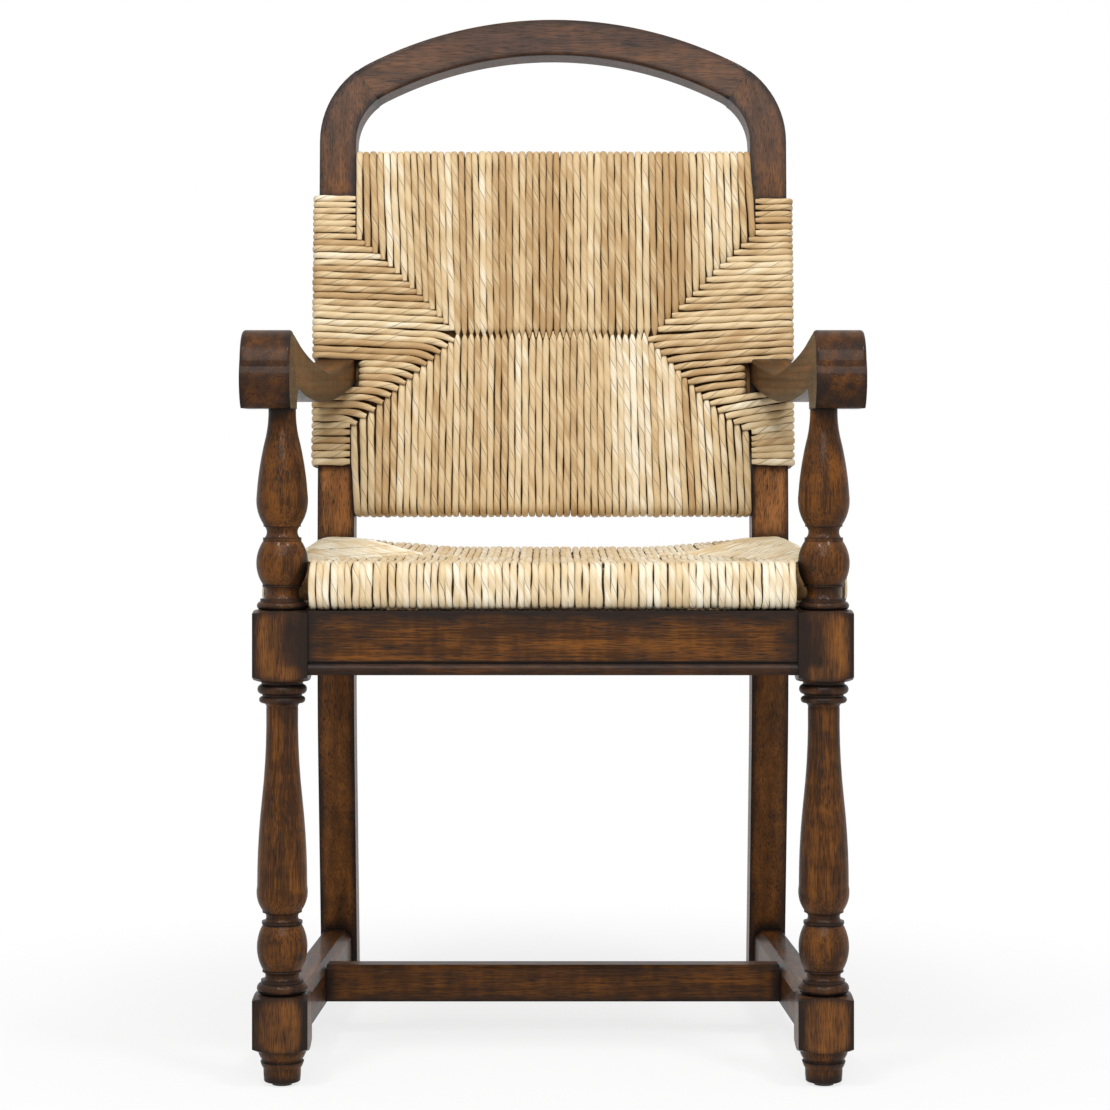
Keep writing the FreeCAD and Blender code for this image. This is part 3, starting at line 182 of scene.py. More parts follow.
def glazed_wood(name, grain, along_edges=None, tint=None):
    """Walnut with its grain along axis 0, 1 or 2, glazed, with painted shade in hollows and along edges.

    Bands of growth, fibres and pores are noises in cells drawn out along the grain. Where rays of a
    few millimetres meet wood outside the surface, in hollows and near other pieces, the colour is
    glazing and painted shade; where they meet it inside, along edges, it is painted shade. Glazing is
    also left in patches and in the pores. along_edges turns a place and the painted shade along its
    edges into what is kept there; tint changes a place's stain.
    """
    material, start, shader = new_finish(name)
    place = start.place()
    bands, figure, fibres, vessels, patches = (
        place.drawn_noise(grain, *cells) for cells in (BANDS, FIGURE, FIBRES, PORES, PATCHES))
    pores = vessels.rise(*PORE_LEVELS)
    warm = (bands * BAND_SHARE + fibres + figure * FIGURE_SHARE).rise(*WARM_LEVELS)
    # Glaze in the coves, with painted shade there and wherever other pieces come near; painted shade along
    # edges
    hollows = place.surface_near(HOLLOW_REACH).rise(*HOLLOW_LEVELS)
    edges = place.surface_near(EDGE_REACH, True).rise(*EDGE_LEVELS)
    if along_edges:
        edges = along_edges(place, edges)
    unwiped = (patches + fibres * FIBRE_SHARE).rise(*UNWIPED_LEVELS)
    glaze_and_shade = (hollows * HOLLOW_GLAZE_AND_SHADE + edges * EDGE_SHADE + unwiped * UNWIPED_GLAZE
             + pores * PORE_GLAZE).math("MINIMUM", MOST_GLAZE_AND_SHADE)
    stained = warm.blend(WALNUT, WALNUT_WARM)
    if tint:
        stained = tint(place, stained)
    soft_edge = start.node("Bevel", {"samples": 4}, {"Radius": SOFT_EDGE})
    grain_bump = start.node("Bump", None, {
        "Strength": 0.35, "Distance": 0.0006, "Height": fibres * FIBRE_SHARE - pores,
        "Normal": soft_edge})
    start.feed(shader, {
        "Base Color": glaze_and_shade.blend(stained, GLAZE_AND_SHADE),
        "Roughness": fibres * SATIN_SPREAD + SATIN, "Specular IOR Level": 0.07,
        "Coat Weight": 0.1, "Coat Roughness": 0.1, "Normal": grain_bump})
    return material


def dress(material, *names):
    """Put a finish in the material slots of some of the frame's pieces."""
    for name in names:
        for slot in nodes[name].material_slots:
            slot.material = material


BLOCK_CENTRE, BLOCK_HALF = (0.246, -0.2179), 0.025
BLOCK_LEVELS = ((0.0315, 0.0825), (0.367, 0.4315))
# Painted shade along the blocks' upright corners, from 60 % of half a block out to its edge
BLOCK_BAND = (BLOCK_HALF * 0.6, BLOCK_HALF * 1.02)
BLOCK_RUB = 0.16


def on_blocks(place):
    """1 within the heights of the square blocks and 0 elsewhere."""
    height = place.axis("Z")
    lower, upper = (height.math("GREATER_THAN", foot) * height.math("LESS_THAN", top)
                    for foot, top in BLOCK_LEVELS)
    return lower + upper


def block_shade(place, edges):
    """Painted shade along edges, and on the square blocks a wide band of painted shade along each upright
    corner.

    The band is the smaller of the two distances from the post's axis.
    """
    aside = place.axis("X").math("ABSOLUTE") - BLOCK_CENTRE[0]
    ahead = place.axis("Y") - BLOCK_CENTRE[1]
    near = aside.math("ABSOLUTE").math("MINIMUM", ahead.math("ABSOLUTE"))
    return edges.math("MAXIMUM", near.rise(*BLOCK_BAND) * on_blocks(place))


def block_tint(place, stained):
    """Stain rubbed a little thinner on the blocks."""
    return (on_blocks(place) * BLOCK_RUB).blend(stained, RUBBED_AND_LIT)


upright_wood = glazed_wood("glazed_walnut_upright", GRAIN_UPRIGHT, block_shade, block_tint)
dress(upright_wood, "front_post_left", "front_post_right")

# Rear posts and crest
# The rear posts are sawn from plank, kicked back at the foot and raked above the seat.
# The arched crest is sawn too, its grain straight across, and dowelled between the shoulders.
BACK_RAKE = np.radians(4.5)
BACK_UP = np.array([0, np.sin(BACK_RAKE), np.cos(BACK_RAKE)])
BACK_THROUGH = np.array([0, np.cos(BACK_RAKE), -np.sin(BACK_RAKE)])
BACK_BEND = np.array([0, 0.1701, 0.5])
# The arch's middle line, in the plane of the back: centres and radii of its two arcs
SHOULDER_X, SHOULDER_UP, SHOULDER_RADIUS = 0.151, 0.4015, 0.075
CREST_CENTRE, CREST_RADIUS = 0.1074, 0.406
HALF_WIDTH, CLEAR_WIDTH = 0.0185, 0.0095
# Painted sheen: grey on the arch, darker and bluer on the crown as painted shade and sheen
ARCH_SHEEN = paint(88, 75, 70)
CROWN_SHADE_AND_SHEEN = paint(40, 44, 52)
# Heights over which the finish changes, upwards, how much lighter the stain is made, and the share of
# painted sheen
ABOVE_SEAT, BEHIND_WEAVE, ARCH, CROWN = (0.46, 0.5), (0.55, 0.62), (0.8, 0.95), (0.97, 1.005)
LEG_PAINTED_LIGHT, ABOVE_SEAT_LIFT, BEHIND_WEAVE_LOSS = 0.18, 0.52, 0.62
ARCH_SHEEN_SHARE, CROWN_SHEEN_SHARE = 0.36, 0.1


def arch_edge_shade(place, edges):
    """Painted shade along edges, kept only near the rim of post, shoulder and crest and not at their
    joints.

    Nearness is the distance from the arch's middle line, an upright, a small arc and a large one,
    in the plane of the raked back.
    """
    across = place.axis("X").math("ABSOLUTE")
    raised = place.node("VectorMath", {"operation": "SUBTRACT"}, {0: place, 1: BACK_BEND})
    up = place.node("VectorMath", {"operation": "DOT_PRODUCT"}, {0: raised, 1: BACK_UP}, "Value")

    def off_arc(centre_x, height, radius):
        aside = across - centre_x
        return ((aside * aside + height * height).math("SQRT") - radius).math("ABSOLUTE")

    post = off_arc(SHOULDER_X, (up - SHOULDER_UP).math("MAXIMUM", 0.0), SHOULDER_RADIUS)
    crest = off_arc(0.0, up - CREST_CENTRE, CREST_RADIUS)
    lean = SHOULDER_X / (SHOULDER_UP - CREST_CENTRE)
    on_crest = ((up - CREST_CENTRE) * lean).math("GREATER_THAN", across)
    rim = (on_crest * crest + (1 - on_crest) * post).rise(CLEAR_WIDTH, HALF_WIDTH)
    return edges.math("MINIMUM", rim)


def sawn_tint(place, stained):
    """Stain made lighter on the posts, most of all between seat and back, and a painted grey sheen on the
    arch.

    A little of the lightening, all over, is painted light that lifts the legs out of the seat's shade.
    The painted sheen is darker and bluer on the crown, as painted shade.
    """
    height = place.axis("Z")
    behind = height.rise(*BEHIND_WEAVE)
    crown = height.rise(*CROWN)
    # Lighter stain: a little all over, painted light against the seat's shade on the legs; most between
    # seat and back
    lightened_share = height.rise(*ABOVE_SEAT) * (ABOVE_SEAT_LIFT - BEHIND_WEAVE_LOSS * behind) + LEG_PAINTED_LIGHT
    share = height.rise(*ARCH) * ARCH_SHEEN_SHARE + crown * CROWN_SHEEN_SHARE
    return share.blend(lightened_share.blend(stained, RUBBED_AND_LIT), crown.blend(ARCH_SHEEN, CROWN_SHADE_AND_SHEEN))


sawn_wood = glazed_wood("glazed_walnut_posts", GRAIN_UPRIGHT, arch_edge_shade, sawn_tint)
crest_wood = glazed_wood("glazed_walnut_crest", GRAIN_ACROSS, arch_edge_shade, sawn_tint)
dress(sawn_wood, "rear_post_left", "rear_post_right")
dress(crest_wood, "crest_rail")

# Seat rails and stretchers
# Planed bars tenoned into the posts; the front apron has a bead along its lower edge.
# The grain of each runs along its length.
RAIL_TOP, RAIL_HALF = 0.4315, 0.221
# Painted shade: a band under the seat's overhanging weave and one beside each post
UNDER_SEAT, UNDER_SEAT_SHADE = (RAIL_TOP - 0.022, RAIL_TOP), 0.8
BESIDE_POST, BESIDE_POST_SHADE = (RAIL_HALF - 0.03, RAIL_HALF), 0.6


def apron_shade(place, edges):
    """Painted shade along edges, and more painted shade under the seat's weave and beside the posts."""
    under_seat = place.axis("Z").rise(*UNDER_SEAT) * UNDER_SEAT_SHADE
    beside_post = place.axis("X").math("ABSOLUTE").rise(*BESIDE_POST) * BESIDE_POST_SHADE
    return edges.math("MAXIMUM", under_seat).math("MAXIMUM", beside_post)


apron_wood = glazed_wood("glazed_walnut_apron", GRAIN_ACROSS, apron_shade)
cross_wood = glazed_wood("glazed_walnut_across", GRAIN_ACROSS)
lengthwise_wood = glazed_wood("glazed_walnut_lengthwise", GRAIN_LENGTHWISE)
dress(apron_wood, "front_seat_rail")
dress(cross_wood, "rear_seat_rail", "cross_stretcher")
dress(lengthwise_wood, "side_seat_rail_left", "side_seat_rail_right")
dress(lengthwise_wood, "side_stretcher_left", "side_stretcher_right")

# Arms
# Each is band-sawn to a swoop and rolled over at the front, where it sits on the post's round tenon.
# Its grain runs front to back, so the roll shows end grain, which takes more of the glaze.
ROLL, ROLL_GLAZE = (-0.25, -0.19), 0.36


def arm_glaze_and_shade(place, edges):
    """Painted shade along edges, and glazing on the roll's end grain."""
    roll = 1 - place.axis("Y").rise(*ROLL)
    return edges.math("MAXIMUM", roll * ROLL_GLAZE)


arm_wood = glazed_wood("glazed_walnut_arms", GRAIN_LENGTHWISE, arm_glaze_and_shade)
dress(arm_wood, "arm_left", "arm_right")

# Inner frames, blocks and dowels
# Pine boards carry the seat's cords and rails carry the back's; blocks are glued in the corners.
# They are planed and left bare, and the weave or the aprons hide them.
PINE = paint(196, 158, 108)
PINE_LATE = paint(160, 118, 72)
# Painted shade where the seat's cords lie close over the boards
PINE_SHADE = paint(60, 42, 28)
PINE_BANDS, LATE_LEVELS = (0.007, 0.2, 4.0), (0.4, 0.62)
COVER_REACH, COVER_LEVELS = 0.02, (0.3, 0.7)
PLANED, ROUGHNESS_SPREAD = 0.5, 0.2


def bare_wood(name, grain):
    """Planed pine: growth bands as noise in cells drawn out along the grain, painted shade under the cords.
    """
    material, start, shader = new_finish(name)
    place = start.place()
    bands = place.drawn_noise(grain, *PINE_BANDS)
    shaded_by_cords = place.surface_near(COVER_REACH).rise(*COVER_LEVELS)
    planed = bands.rise(*LATE_LEVELS).blend(PINE, PINE_LATE)
    start.feed(shader, {"Base Color": shaded_by_cords.blend(planed, PINE_SHADE),
                        "Roughness": bands * ROUGHNESS_SPREAD + PLANED, "Specular IOR Level": 0.2})
    return material


pine_across = bare_wood("pine_across", GRAIN_ACROSS)
pine_lengthwise = bare_wood("pine_lengthwise", GRAIN_LENGTHWISE)
dress(pine_across, "seat_frame_front", "seat_frame_rear", "upper_back_rail", "lower_back_rail")
dress(pine_across, "crest_dowels")
dress(pine_lengthwise, "seat_frame_left", "seat_frame_right")
dress(pine_lengthwise, "corner_block_front_left", "corner_block_front_right")
dress(pine_lengthwise, "corner_block_rear_left", "corner_block_rear_right")

# Screws and glides
# Zinc-plated screws hold the seat frame to the corner blocks.
# A pressed dark glide is nailed under each foot.
ZINC, ZINC_SCUFFED = paint(176, 178, 182), paint(150, 150, 152)
GLIDE, GLIDE_SCUFFED = paint(38, 34, 32), paint(60, 54, 50)
SCUFF_OCTAVES, SCUFFS_PER_METRE, SCUFF_LEVELS = 3.0, 900.0, (0.35, 0.7)


def scuffed(name, colour, scuff_colour, metallic, roughness):
    """A fine-grained surface with scuffs: cloudy noise shifts the colour and the roughness."""
    material, start, shader = new_finish(name)
    scuffs = start.place().noise(SCUFF_OCTAVES, SCUFFS_PER_METRE).rise(*SCUFF_LEVELS)
    start.feed(shader, {"Base Color": scuffs.blend(colour, scuff_colour), "Metallic": metallic,
                        "Roughness": scuffs * ROUGHNESS_SPREAD + roughness})
    return material


dress(scuffed("plated_steel", ZINC, ZINC_SCUFFED, metallic=1.0, roughness=0.28), "seat_screws")
dress(scuffed("dark_glide", GLIDE, GLIDE_SCUFFED, metallic=0.0, roughness=0.4), "foot_glides")

# Packing of the back and of the seat
# Offcuts of rush are pushed between the two faces of the weave while it is made.
# They fill the space between the rails and show as darkness between the cords.
PACKING_DARK = paint(92, 62, 36)
PACKING_STRAW = paint(138, 102, 60)
STRANDS, STRAND_LEVELS = (1 / 300, 1 / 60, 3.0), (0.35, 0.65)
ACROSS = np.array([1.0, 0, 0])


def packing_finish():
    """Loose dark straw: noise in long upright cells, lighter along the strands."""
    material, start, shader = new_finish("rush_packing")
    strands = start.place().drawn_noise(GRAIN_UPRIGHT, *STRANDS).rise(*STRAND_LEVELS)
    start.feed(shader, {"Base Color": strands.blend(PACKING_DARK, PACKING_STRAW), "Roughness": 0.9})
    return material


def new_piece(name, points, faces, material):
    """A mesh at the origin that rides on the chair, with one finish."""
    mesh = bpy.data.meshes.new(name)
    mesh.from_pydata(points.reshape(-1, 3).tolist(), [], faces)
    mesh.materials.append(material)
    mesh.polygons.foreach_set("use_smooth", np.ones(len(mesh.polygons), bool))
    piece = bpy.data.objects.new(name, mesh)
    bpy.context.scene.collection.objects.link(piece)
    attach(piece, "root")
    return piece


def squared(wave, power):
    """A wave raised to a power with its sign kept: a low power turns a circle towards a square."""
    return np.sign(wave) * np.abs(wave) ** power


def packed_pad(name, place, half, squareness=0.1, around=64, levels=24):
    """A closed pillow: the unit sphere with each axis raised to a low power, so that it nearly fills a box.

    place turns its three local coordinates into the chair's; half holds its half sizes.
    """
    turn = np.linspace(0, 2 * np.pi, around, endpoint=False)[:, None]
    rise = np.linspace(-np.pi / 2, np.pi / 2, levels + 2)[None, 1:-1]
    local = np.stack(np.broadcast_arrays(
        half[0] * squared(np.cos(turn), squareness) * squared(np.cos(rise), squareness),
        half[1] * squared(np.sin(turn), squareness) * squared(np.cos(rise), squareness),
        half[2] * squared(np.sin(rise), squareness)), -1)
    poles = np.array([[0, 0, -half[2]], [0, 0, half[2]]])
    points = place(np.concatenate([local.reshape(-1, 3), poles]))
    count = around * levels
    index = np.arange(count).reshape(around, levels)
    following = np.roll(index, -1, axis=0)
    walls = np.stack([index[:, :-1], following[:, :-1], following[:, 1:], index[:, 1:]], -1)
    foot = np.stack([following[:, 0], index[:, 0], np.full(around, count)], -1)
    crown = np.stack([index[:, -1], following[:, -1], np.full(around, count + 1)], -1)
    faces = walls.reshape(-1, 4).tolist() + foot.tolist() + crown.tolist()
    pad = new_piece(name, points, faces, packing)
    return pad


packing = packing_finish()
back_low, back_high = (np.array(corner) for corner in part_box("back_stuffing"))
seat_low, seat_high = (np.array(corner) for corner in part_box("seat_stuffing"))
back_middle, seat_middle = (back_low + back_high) / 2, (seat_low + seat_high) / 2
PAD_HALF_DEPTH, PAD_CLEARANCE = 0.0138, 0.002
ARM_HEIGHT, ARM_PINCH, PINCH_LENGTH = 0.66, 0.06, 0.02
back_half = np.array([back_high[0], PAD_HALF_DEPTH, (back_high[2] - back_low[2]) / 2 - PAD_CLEARANCE])
seat_half = (seat_high - seat_low) / 2
arm_level = (ARM_HEIGHT - back_middle[2]) / np.cos(BACK_RAKE)


def leaning(local):
    """Local sizes across, through and up the raked back, about its middle, drawn in at the arms."""
    drawn_in = 1 - ARM_PINCH * np.exp(-((local[:, 2:] - arm_level) / PINCH_LENGTH) ** 2)
    return (back_middle + local[:, :1] * drawn_in * ACROSS + local[:, 1:2] * BACK_THROUGH
            + local[:, 2:] * BACK_UP)


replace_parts(packed_pad("back_packing", leaning, back_half), "back_stuffing")
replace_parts(packed_pad("seat_packing", lambda local: seat_middle + local, seat_half), "seat_stuffing")

# Woven back
# Two rush leaves are twisted into one long cord as it is woven: over the top rail, round a post,
# over the bottom rail, round the other post. The four sets meet at diagonals and at a short seam.
RUSH_PALE = paint(238, 229, 207)
RUSH_STRAW = paint(214, 190, 149)
RUSH_TAN = paint(178, 145, 101)
# Dark of the leaf edges, and of the painted shade on the cords' flanks
RUSH_SEAM_AND_SHADE = paint(66, 43, 26)
# The cord's radius, the length of a turn of its twist, the power that squares its ring, the ring's sides
CORD = 0.0035
LAY = 0.046
FLATNESS = 0.8
SIDES = 12
# The rush's noises: cells across a cord, cells in a metre of it, octaves
LEAF, FIBRE, WEAR = (0.5, 7, 2.0), (7, 22, 2.0), (0.25, 16, 1.0)
NOISE_MEAN, CORD_STRIDE = 0.5, 91
LEAF_TONE, FIBRE_TONE, WEAR_TONE, STRAW_TONE = 0.8, 0.8, 0.5, 0.5
EDGE_WIDTH, WEAR_LEVELS, FLANK_LEVELS = 0.2, (0.44, 0.58), (0.88, 1)
# Painted shade on the flanks where cords meet, and the dark of the leaf edges
FLANK_SHADE, EDGE_DARK = 0.95, 0.6
LEAF_RELIEF, FIBRE_RELIEF = 0.6, 0.5
DRY_RUSH = 0.5
rng = np.random.default_rng(seed=7)


def rush_finish():
    """Twisted rush: streaks and leaf edges on the cord's own map turn once round it in each lay.

    The map gives the share of a turn and the metres along; tone is one number for each cord.
    The flanks, where a cord meets its neighbours, get painted shade.
    """
    material, start, shader = new_finish("twisted_rush")
    chart = start.node("UVMap", {"uv_map": "cord_map"})
    around, along = chart.axis("X"), chart.axis("Y")
    tone = start.node("Attribute", {"attribute_name": "tone"}, output="Fac")
    turn = (around + along * (1 / LAY)) * (2 * np.pi)
    aside, upward = turn.math("COSINE"), turn.math("SINE")

    def streaks(finer, stretch, octaves):
        return start.node("CombineXYZ", None, {
            0: aside * finer + tone * CORD_STRIDE, 1: upward * finer, 2: along * stretch}).noise(octaves)

    leaf, fibre, wear = streaks(*LEAF), streaks(*FIBRE), streaks(*WEAR)
    leaf_edge = (1 - upward.math("ABSOLUTE").rise(0, EDGE_WIDTH)) * wear.rise(*WEAR_LEVELS)
    shade = (tone + (leaf - NOISE_MEAN) * LEAF_TONE + (fibre - NOISE_MEAN) * FIBRE_TONE
             + (wear - NOISE_MEAN) * WEAR_TONE)
    dull = shade.rise(0, STRAW_TONE).blend(RUSH_TAN, RUSH_STRAW)
    body = shade.rise(STRAW_TONE, 1).blend(dull, RUSH_PALE)
    # Painted shade on each cord's flanks, where it meets its neighbours
    flank = (around * (2 * np.pi)).math("COSINE").math("ABSOLUTE").rise(*FLANK_LEVELS)
    seam_and_shade = (flank * FLANK_SHADE + leaf_edge * EDGE_DARK).math("MINIMUM", 1.0)
    relief = start.node("Bump", None, {
        "Strength": 0.5, "Distance": 0.0005,
        "Height": fibre * FIBRE_RELIEF + leaf * LEAF_RELIEF - leaf_edge})
    start.feed(shader, {"Base Color": seam_and_shade.blend(body, RUSH_SEAM_AND_SHADE),
                        "Roughness": fibre * ROUGHNESS_SPREAD + DRY_RUSH,
                        "Specular IOR Level": 0.25, "Normal": relief})
    return material


# How strongly rings gather at a cord's ends and at its edge
RING_GATHER = 0.7


def over_edge(reach, depth, corners, rings):
    """Lines of cords over an edge: in along one face, round a corner, through, and in along the other.

    reach holds how far each cord goes in on both faces; corners are the radii of the two corners.
    The line is measured by its length, with closer rings at its ends and at the edge. Each part
    of it is that length clipped to the part's own span, and quarter circles join the parts.
    Gives inset from the edge, depth through, length so far and whole length.
    """
    first_corner, second_corner = corners
    run, back = (reach - first_corner)[:, None], (reach - second_corner)[:, None]
    first_quarter, second_quarter = first_corner * np.pi / 2, second_corner * np.pi / 2
    flat = depth - first_corner - second_corner
    whole = run + back + first_quarter + second_quarter + flat
    share = np.linspace(0, 1, rings)
    so_far = (share - RING_GATHER * np.sin(4 * np.pi * share) / (4 * np.pi)) * whole
    out = np.clip(so_far, 0, run)
    first = np.clip(so_far - run, 0, first_quarter) / first_corner
    across = np.clip(so_far - run - first_quarter, 0, flat)
    second = np.clip(so_far - run - first_quarter - flat, 0, second_quarter) / second_corner
    inward = np.clip(so_far - run - first_quarter - flat - second_quarter, 0, back)
    inset = (run - out + first_corner * (1 - np.sin(first)) + second_corner * (1 - np.cos(second))
             + inward)
    through = first_corner * (1 - np.cos(first)) + across + second_corner * np.sin(second)
    return inset, through, so_far, whole


def smooth(share):
    """0 below 0 and 1 above 1, with a smooth step between."""
    share = np.clip(share, 0, 1)
    return share * share * (3 - 2 * share)


def tips(so_far, whole, length):
    """1 at the first and at the last end of a cord, falling smoothly to 0 at a length from it."""
    return smooth(1 - so_far / length), smooth(1 - (whole - so_far) / length)


WAVE_STRETCH = (0.7, 1.4)


def waves(so_far, size, *spans):
    """Gentle random waves along each cord, of a size and about the spans given."""
    count = len(so_far)
    total = np.zeros_like(so_far)
    for span in spans:
        length = span * rng.uniform(*WAVE_STRETCH, (count, 1))
        total += np.sin(so_far * 2 * np.pi / length + rng.uniform(0, 2 * np.pi, (count, 1)))
    return size * total / len(spans)


# Shares of three leaves in a cord's tone
BUNDLE = (0.75, 0.55, 0.35)
TONE_LIMITS = (0.02, 0.98)


def bundled_tones(mean, spread, count):
    """One tone for each cord; neighbours share some of it, as leaves of one bundle do."""
    leaves = rng.normal(0, 1, count + 2)
    own, following, last = BUNDLE
    shared = own * leaves[:-2] + following * leaves[1:-1] + last * leaves[2:]
    return np.clip(mean + spread * shared, *TONE_LIMITS)


# Thickness of single cords, the size and spans of the swellings along them, and the place of a cap on
# the map, away from the painted shade of the flanks
GIRTH_RANGE, LUMPS = (0.95, 1.05), (0.1, 0.03, 0.07)
CAP_TURN = 0.25


def sweep_cords(name, replaced, lines, square, so_far, girth, tones):
    """Cords along lines: a ring between a circle and a square at each step, square to the line.

    lines is cords by rings by three; square is the direction that lies square to all of them.
    girth is the radius at each ring.
    """
    count, rings = so_far.shape
    ahead = np.gradient(lines, axis=1)
    ahead /= np.linalg.norm(ahead, axis=2, keepdims=True)
    first = square - (ahead @ square)[..., None] * ahead
    first /= np.linalg.norm(first, axis=2, keepdims=True)
    second = np.cross(ahead, first)
    angle = np.arange(SIDES) * 2 * np.pi / SIDES
    ring = (squared(np.cos(angle), FLATNESS)[:, None] * first[..., None, :]
            + squared(np.sin(angle), FLATNESS)[:, None] * second[..., None, :])
    lumpy = girth * rng.uniform(*GIRTH_RANGE, (count, 1)) * (1 + waves(so_far, *LUMPS))
    points = lines[..., None, :] + lumpy[..., None, None] * ring
    index = np.arange(count * rings * SIDES).reshape(count, rings, SIDES)
    beside = np.roll(index, -1, axis=2)
    walls = np.stack([index[:, :-1], beside[:, :-1], beside[:, 1:], index[:, 1:]], -1).reshape(-1, 4)
    caps = np.concatenate([index[:, 0, ::-1], index[:, -1]])
    piece = new_piece(name, points, walls.tolist() + caps.tolist(), rush)
    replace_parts(piece, replaced)
    share = np.broadcast_to(np.arange(SIDES) / SIDES, (count, rings - 1, SIDES))
    step = share + 1 / SIDES
    low = np.broadcast_to(so_far[:, :-1, None], share.shape)
    high = np.broadcast_to(so_far[:, 1:, None], share.shape)
    chart = np.stack([np.stack([share, low], -1), np.stack([step, low], -1),
                      np.stack([step, high], -1), np.stack([share, high], -1)], -2).reshape(-1, 2)
    cap_along = np.repeat(np.concatenate([so_far[:, 0], so_far[:, -1]]), SIDES)
    cap_chart = np.stack([np.full_like(cap_along, CAP_TURN), cap_along], -1)
    layer = piece.data.uv_layers.new(name="cord_map")
    layer.data.foreach_set("uv", np.concatenate([chart, cap_chart]).astype(np.float32).ravel())
    tone = piece.data.attributes.new("tone", "FLOAT", "POINT")
    tone.data.foreach_set("value", np.repeat(tones, rings * SIDES).astype(np.float32))
    return piece


LEFT, RIGHT = -1, 1
# Sizes across the back and up it from the bend, the depth through it and the seam's valley
BACK_TOP, BACK_FOOT, BACK_SIDE = 0.392, 0.008, 0.252
BACK_INNER, BACK_DEPTH = 0.2068, 0.049
BACK_VALLEY, BACK_RINGS = 0.0045, 110
# Tones of the back's cords; the lower uprights are made paler, painted light for the weaker light low on
# the back
BACK_TONE, BACK_TONE_SPREAD, LOWER_PAINTED_LIGHT = 0.29, 0.21, 0.12
SEAM_UP, SEAM_HALF = 0.1965, 0.103
# Uprights: their number, where they end past the seam, and how they lean at the post and halfway in
UPPER_UPRIGHTS, LOWER_UPRIGHTS = 58, 57
UPPER_PAST_SEAM, LOWER_PAST_SEAM = -0.003, 0.004
UPPER_LEAN = {LEFT: (0.0, 0.006), RIGHT: (0.0048, -0.0035)}
LOWER_LEAN = {LEFT: (0.005, 0.0025), RIGHT: (-0.002, 0.008)}
LEAN_CORDS = 4.5
UPRIGHT_CORNERS, UPRIGHT_WAVES = (0.010, 0.010), (0.0005, 0.08, 0.21)
UPRIGHT_SCATTER, UPRIGHT_TIP = 0.0006, 0.011
SEAM_TAPER, UPRIGHT_TAPER = 0.7, 0.2
# How deep tips are tucked under the cords that they meet; those that lie on top are raised
SEAM_TUCK, UPRIGHT_TUCK, ROW_TUCK, RAISED = 0.0015, 0.0035, 0.0025, -0.001
# Rows round the posts: those at top and foot reach no upright, the others meet one each at a diagonal
WRAP_TOP, WRAP_FOOT, WRAPS = {LEFT: 0.3445, RIGHT: 0.341}, 0.0602, 40
EVEN_FALL, GROWING_FALL = 0.93, 0.07
PLAIN_ROWS, CORNER_ROWS = 6, 14
UPPER_SAG, UPPER_SAG_GROWTH = 0.01, 0.07
LOWER_SAG, SWELL_POWER = {LEFT: (0.05, -0.02), RIGHT: (0.058, 0.14)}, 1.6
ROW_BEND, BEND_LENGTH = {LEFT: 0.0055, RIGHT: 0.0012}, 0.024
ARM_GAP, ARM_SLOT = (0.143, 0.1735), {LEFT: 0.2035, RIGHT: 0.2015}
ROW_CORNERS, ROW_WAVES = (0.006, 0.006), (0.0004, 0.05, 0.15)
ROW_SCATTER, ROW_TIP, ROW_TAPER, LEAST_ROW = 0.0002, 0.008, 0.25, 0.012
ROW_TONE_SPREAD = BACK_TONE_SPREAD * 0.8
rush = rush_finish()
row = np.arange(WRAPS)
row_share = row / (WRAPS - 1)
row_fall = row_share * (EVEN_FALL + GROWING_FALL * row_share)
row_up = {hand: (top - CORD) * (1 - row_fall) + (WRAP_FOOT + CORD) * row_fall
          for hand, top in WRAP_TOP.items()}
row_is_upper = row < PLAIN_ROWS + CORNER_ROWS
lower_share = np.clip((row - PLAIN_ROWS - CORNER_ROWS) / (WRAPS - 1 - PLAIN_ROWS - CORNER_ROWS), 0, 1)
row_partner = np.where(row_is_upper, row, WRAPS - 1 - row) - PLAIN_ROWS


def on_back(across, up, through):
    """A place on the raked back, from its three sizes, in the chair's frame.

    Both faces sink by the valley's depth towards the seam and swell towards the four edges.
    """
    middle = (1 - smooth((np.abs(across) - SEAM_HALF) / (BACK_INNER - SEAM_HALF))) * (
        1 - smooth(np.abs(up - SEAM_UP) / (BACK_TOP - SEAM_UP)))
    sunk = through + (1 - 2 * through / BACK_DEPTH) * BACK_VALLEY * middle
    return (across[..., None] * ACROSS + up[..., None] * BACK_UP
            + (sunk - CORD)[..., None] * BACK_THROUGH + BACK_BEND)


def upright_tips(count, upward):
    """Places across of the upright cords at their rail and at their tips.

    Each corner has its own two leans: outwards at the post, fading over a few cords, and inwards
    between post and seam, as a parabola of the squared place across.
    """
    at_rail = np.linspace(-1, 1, count) * (BACK_INNER - CORD)
    outward = (at_rail / BACK_INNER) ** 2
    leans = LOWER_LEAN if upward else UPPER_LEAN
    outmost, inmost = np.where(at_rail < 0, np.array([leans[LEFT]]).T, np.array([leans[RIGHT]]).T)
    at_post = np.exp(-(BACK_INNER - CORD - np.abs(at_rail)) / CORD / LEAN_CORDS)
    lean = outmost * at_post - inmost * 4 * outward * (1 - outward)
    return at_rail, at_rail + np.sign(at_rail) * lean


upper_rail_across, upper_tip_across = upright_tips(UPPER_UPRIGHTS, False)
lower_rail_across, lower_tip_across = upright_tips(LOWER_UPRIGHTS, True)


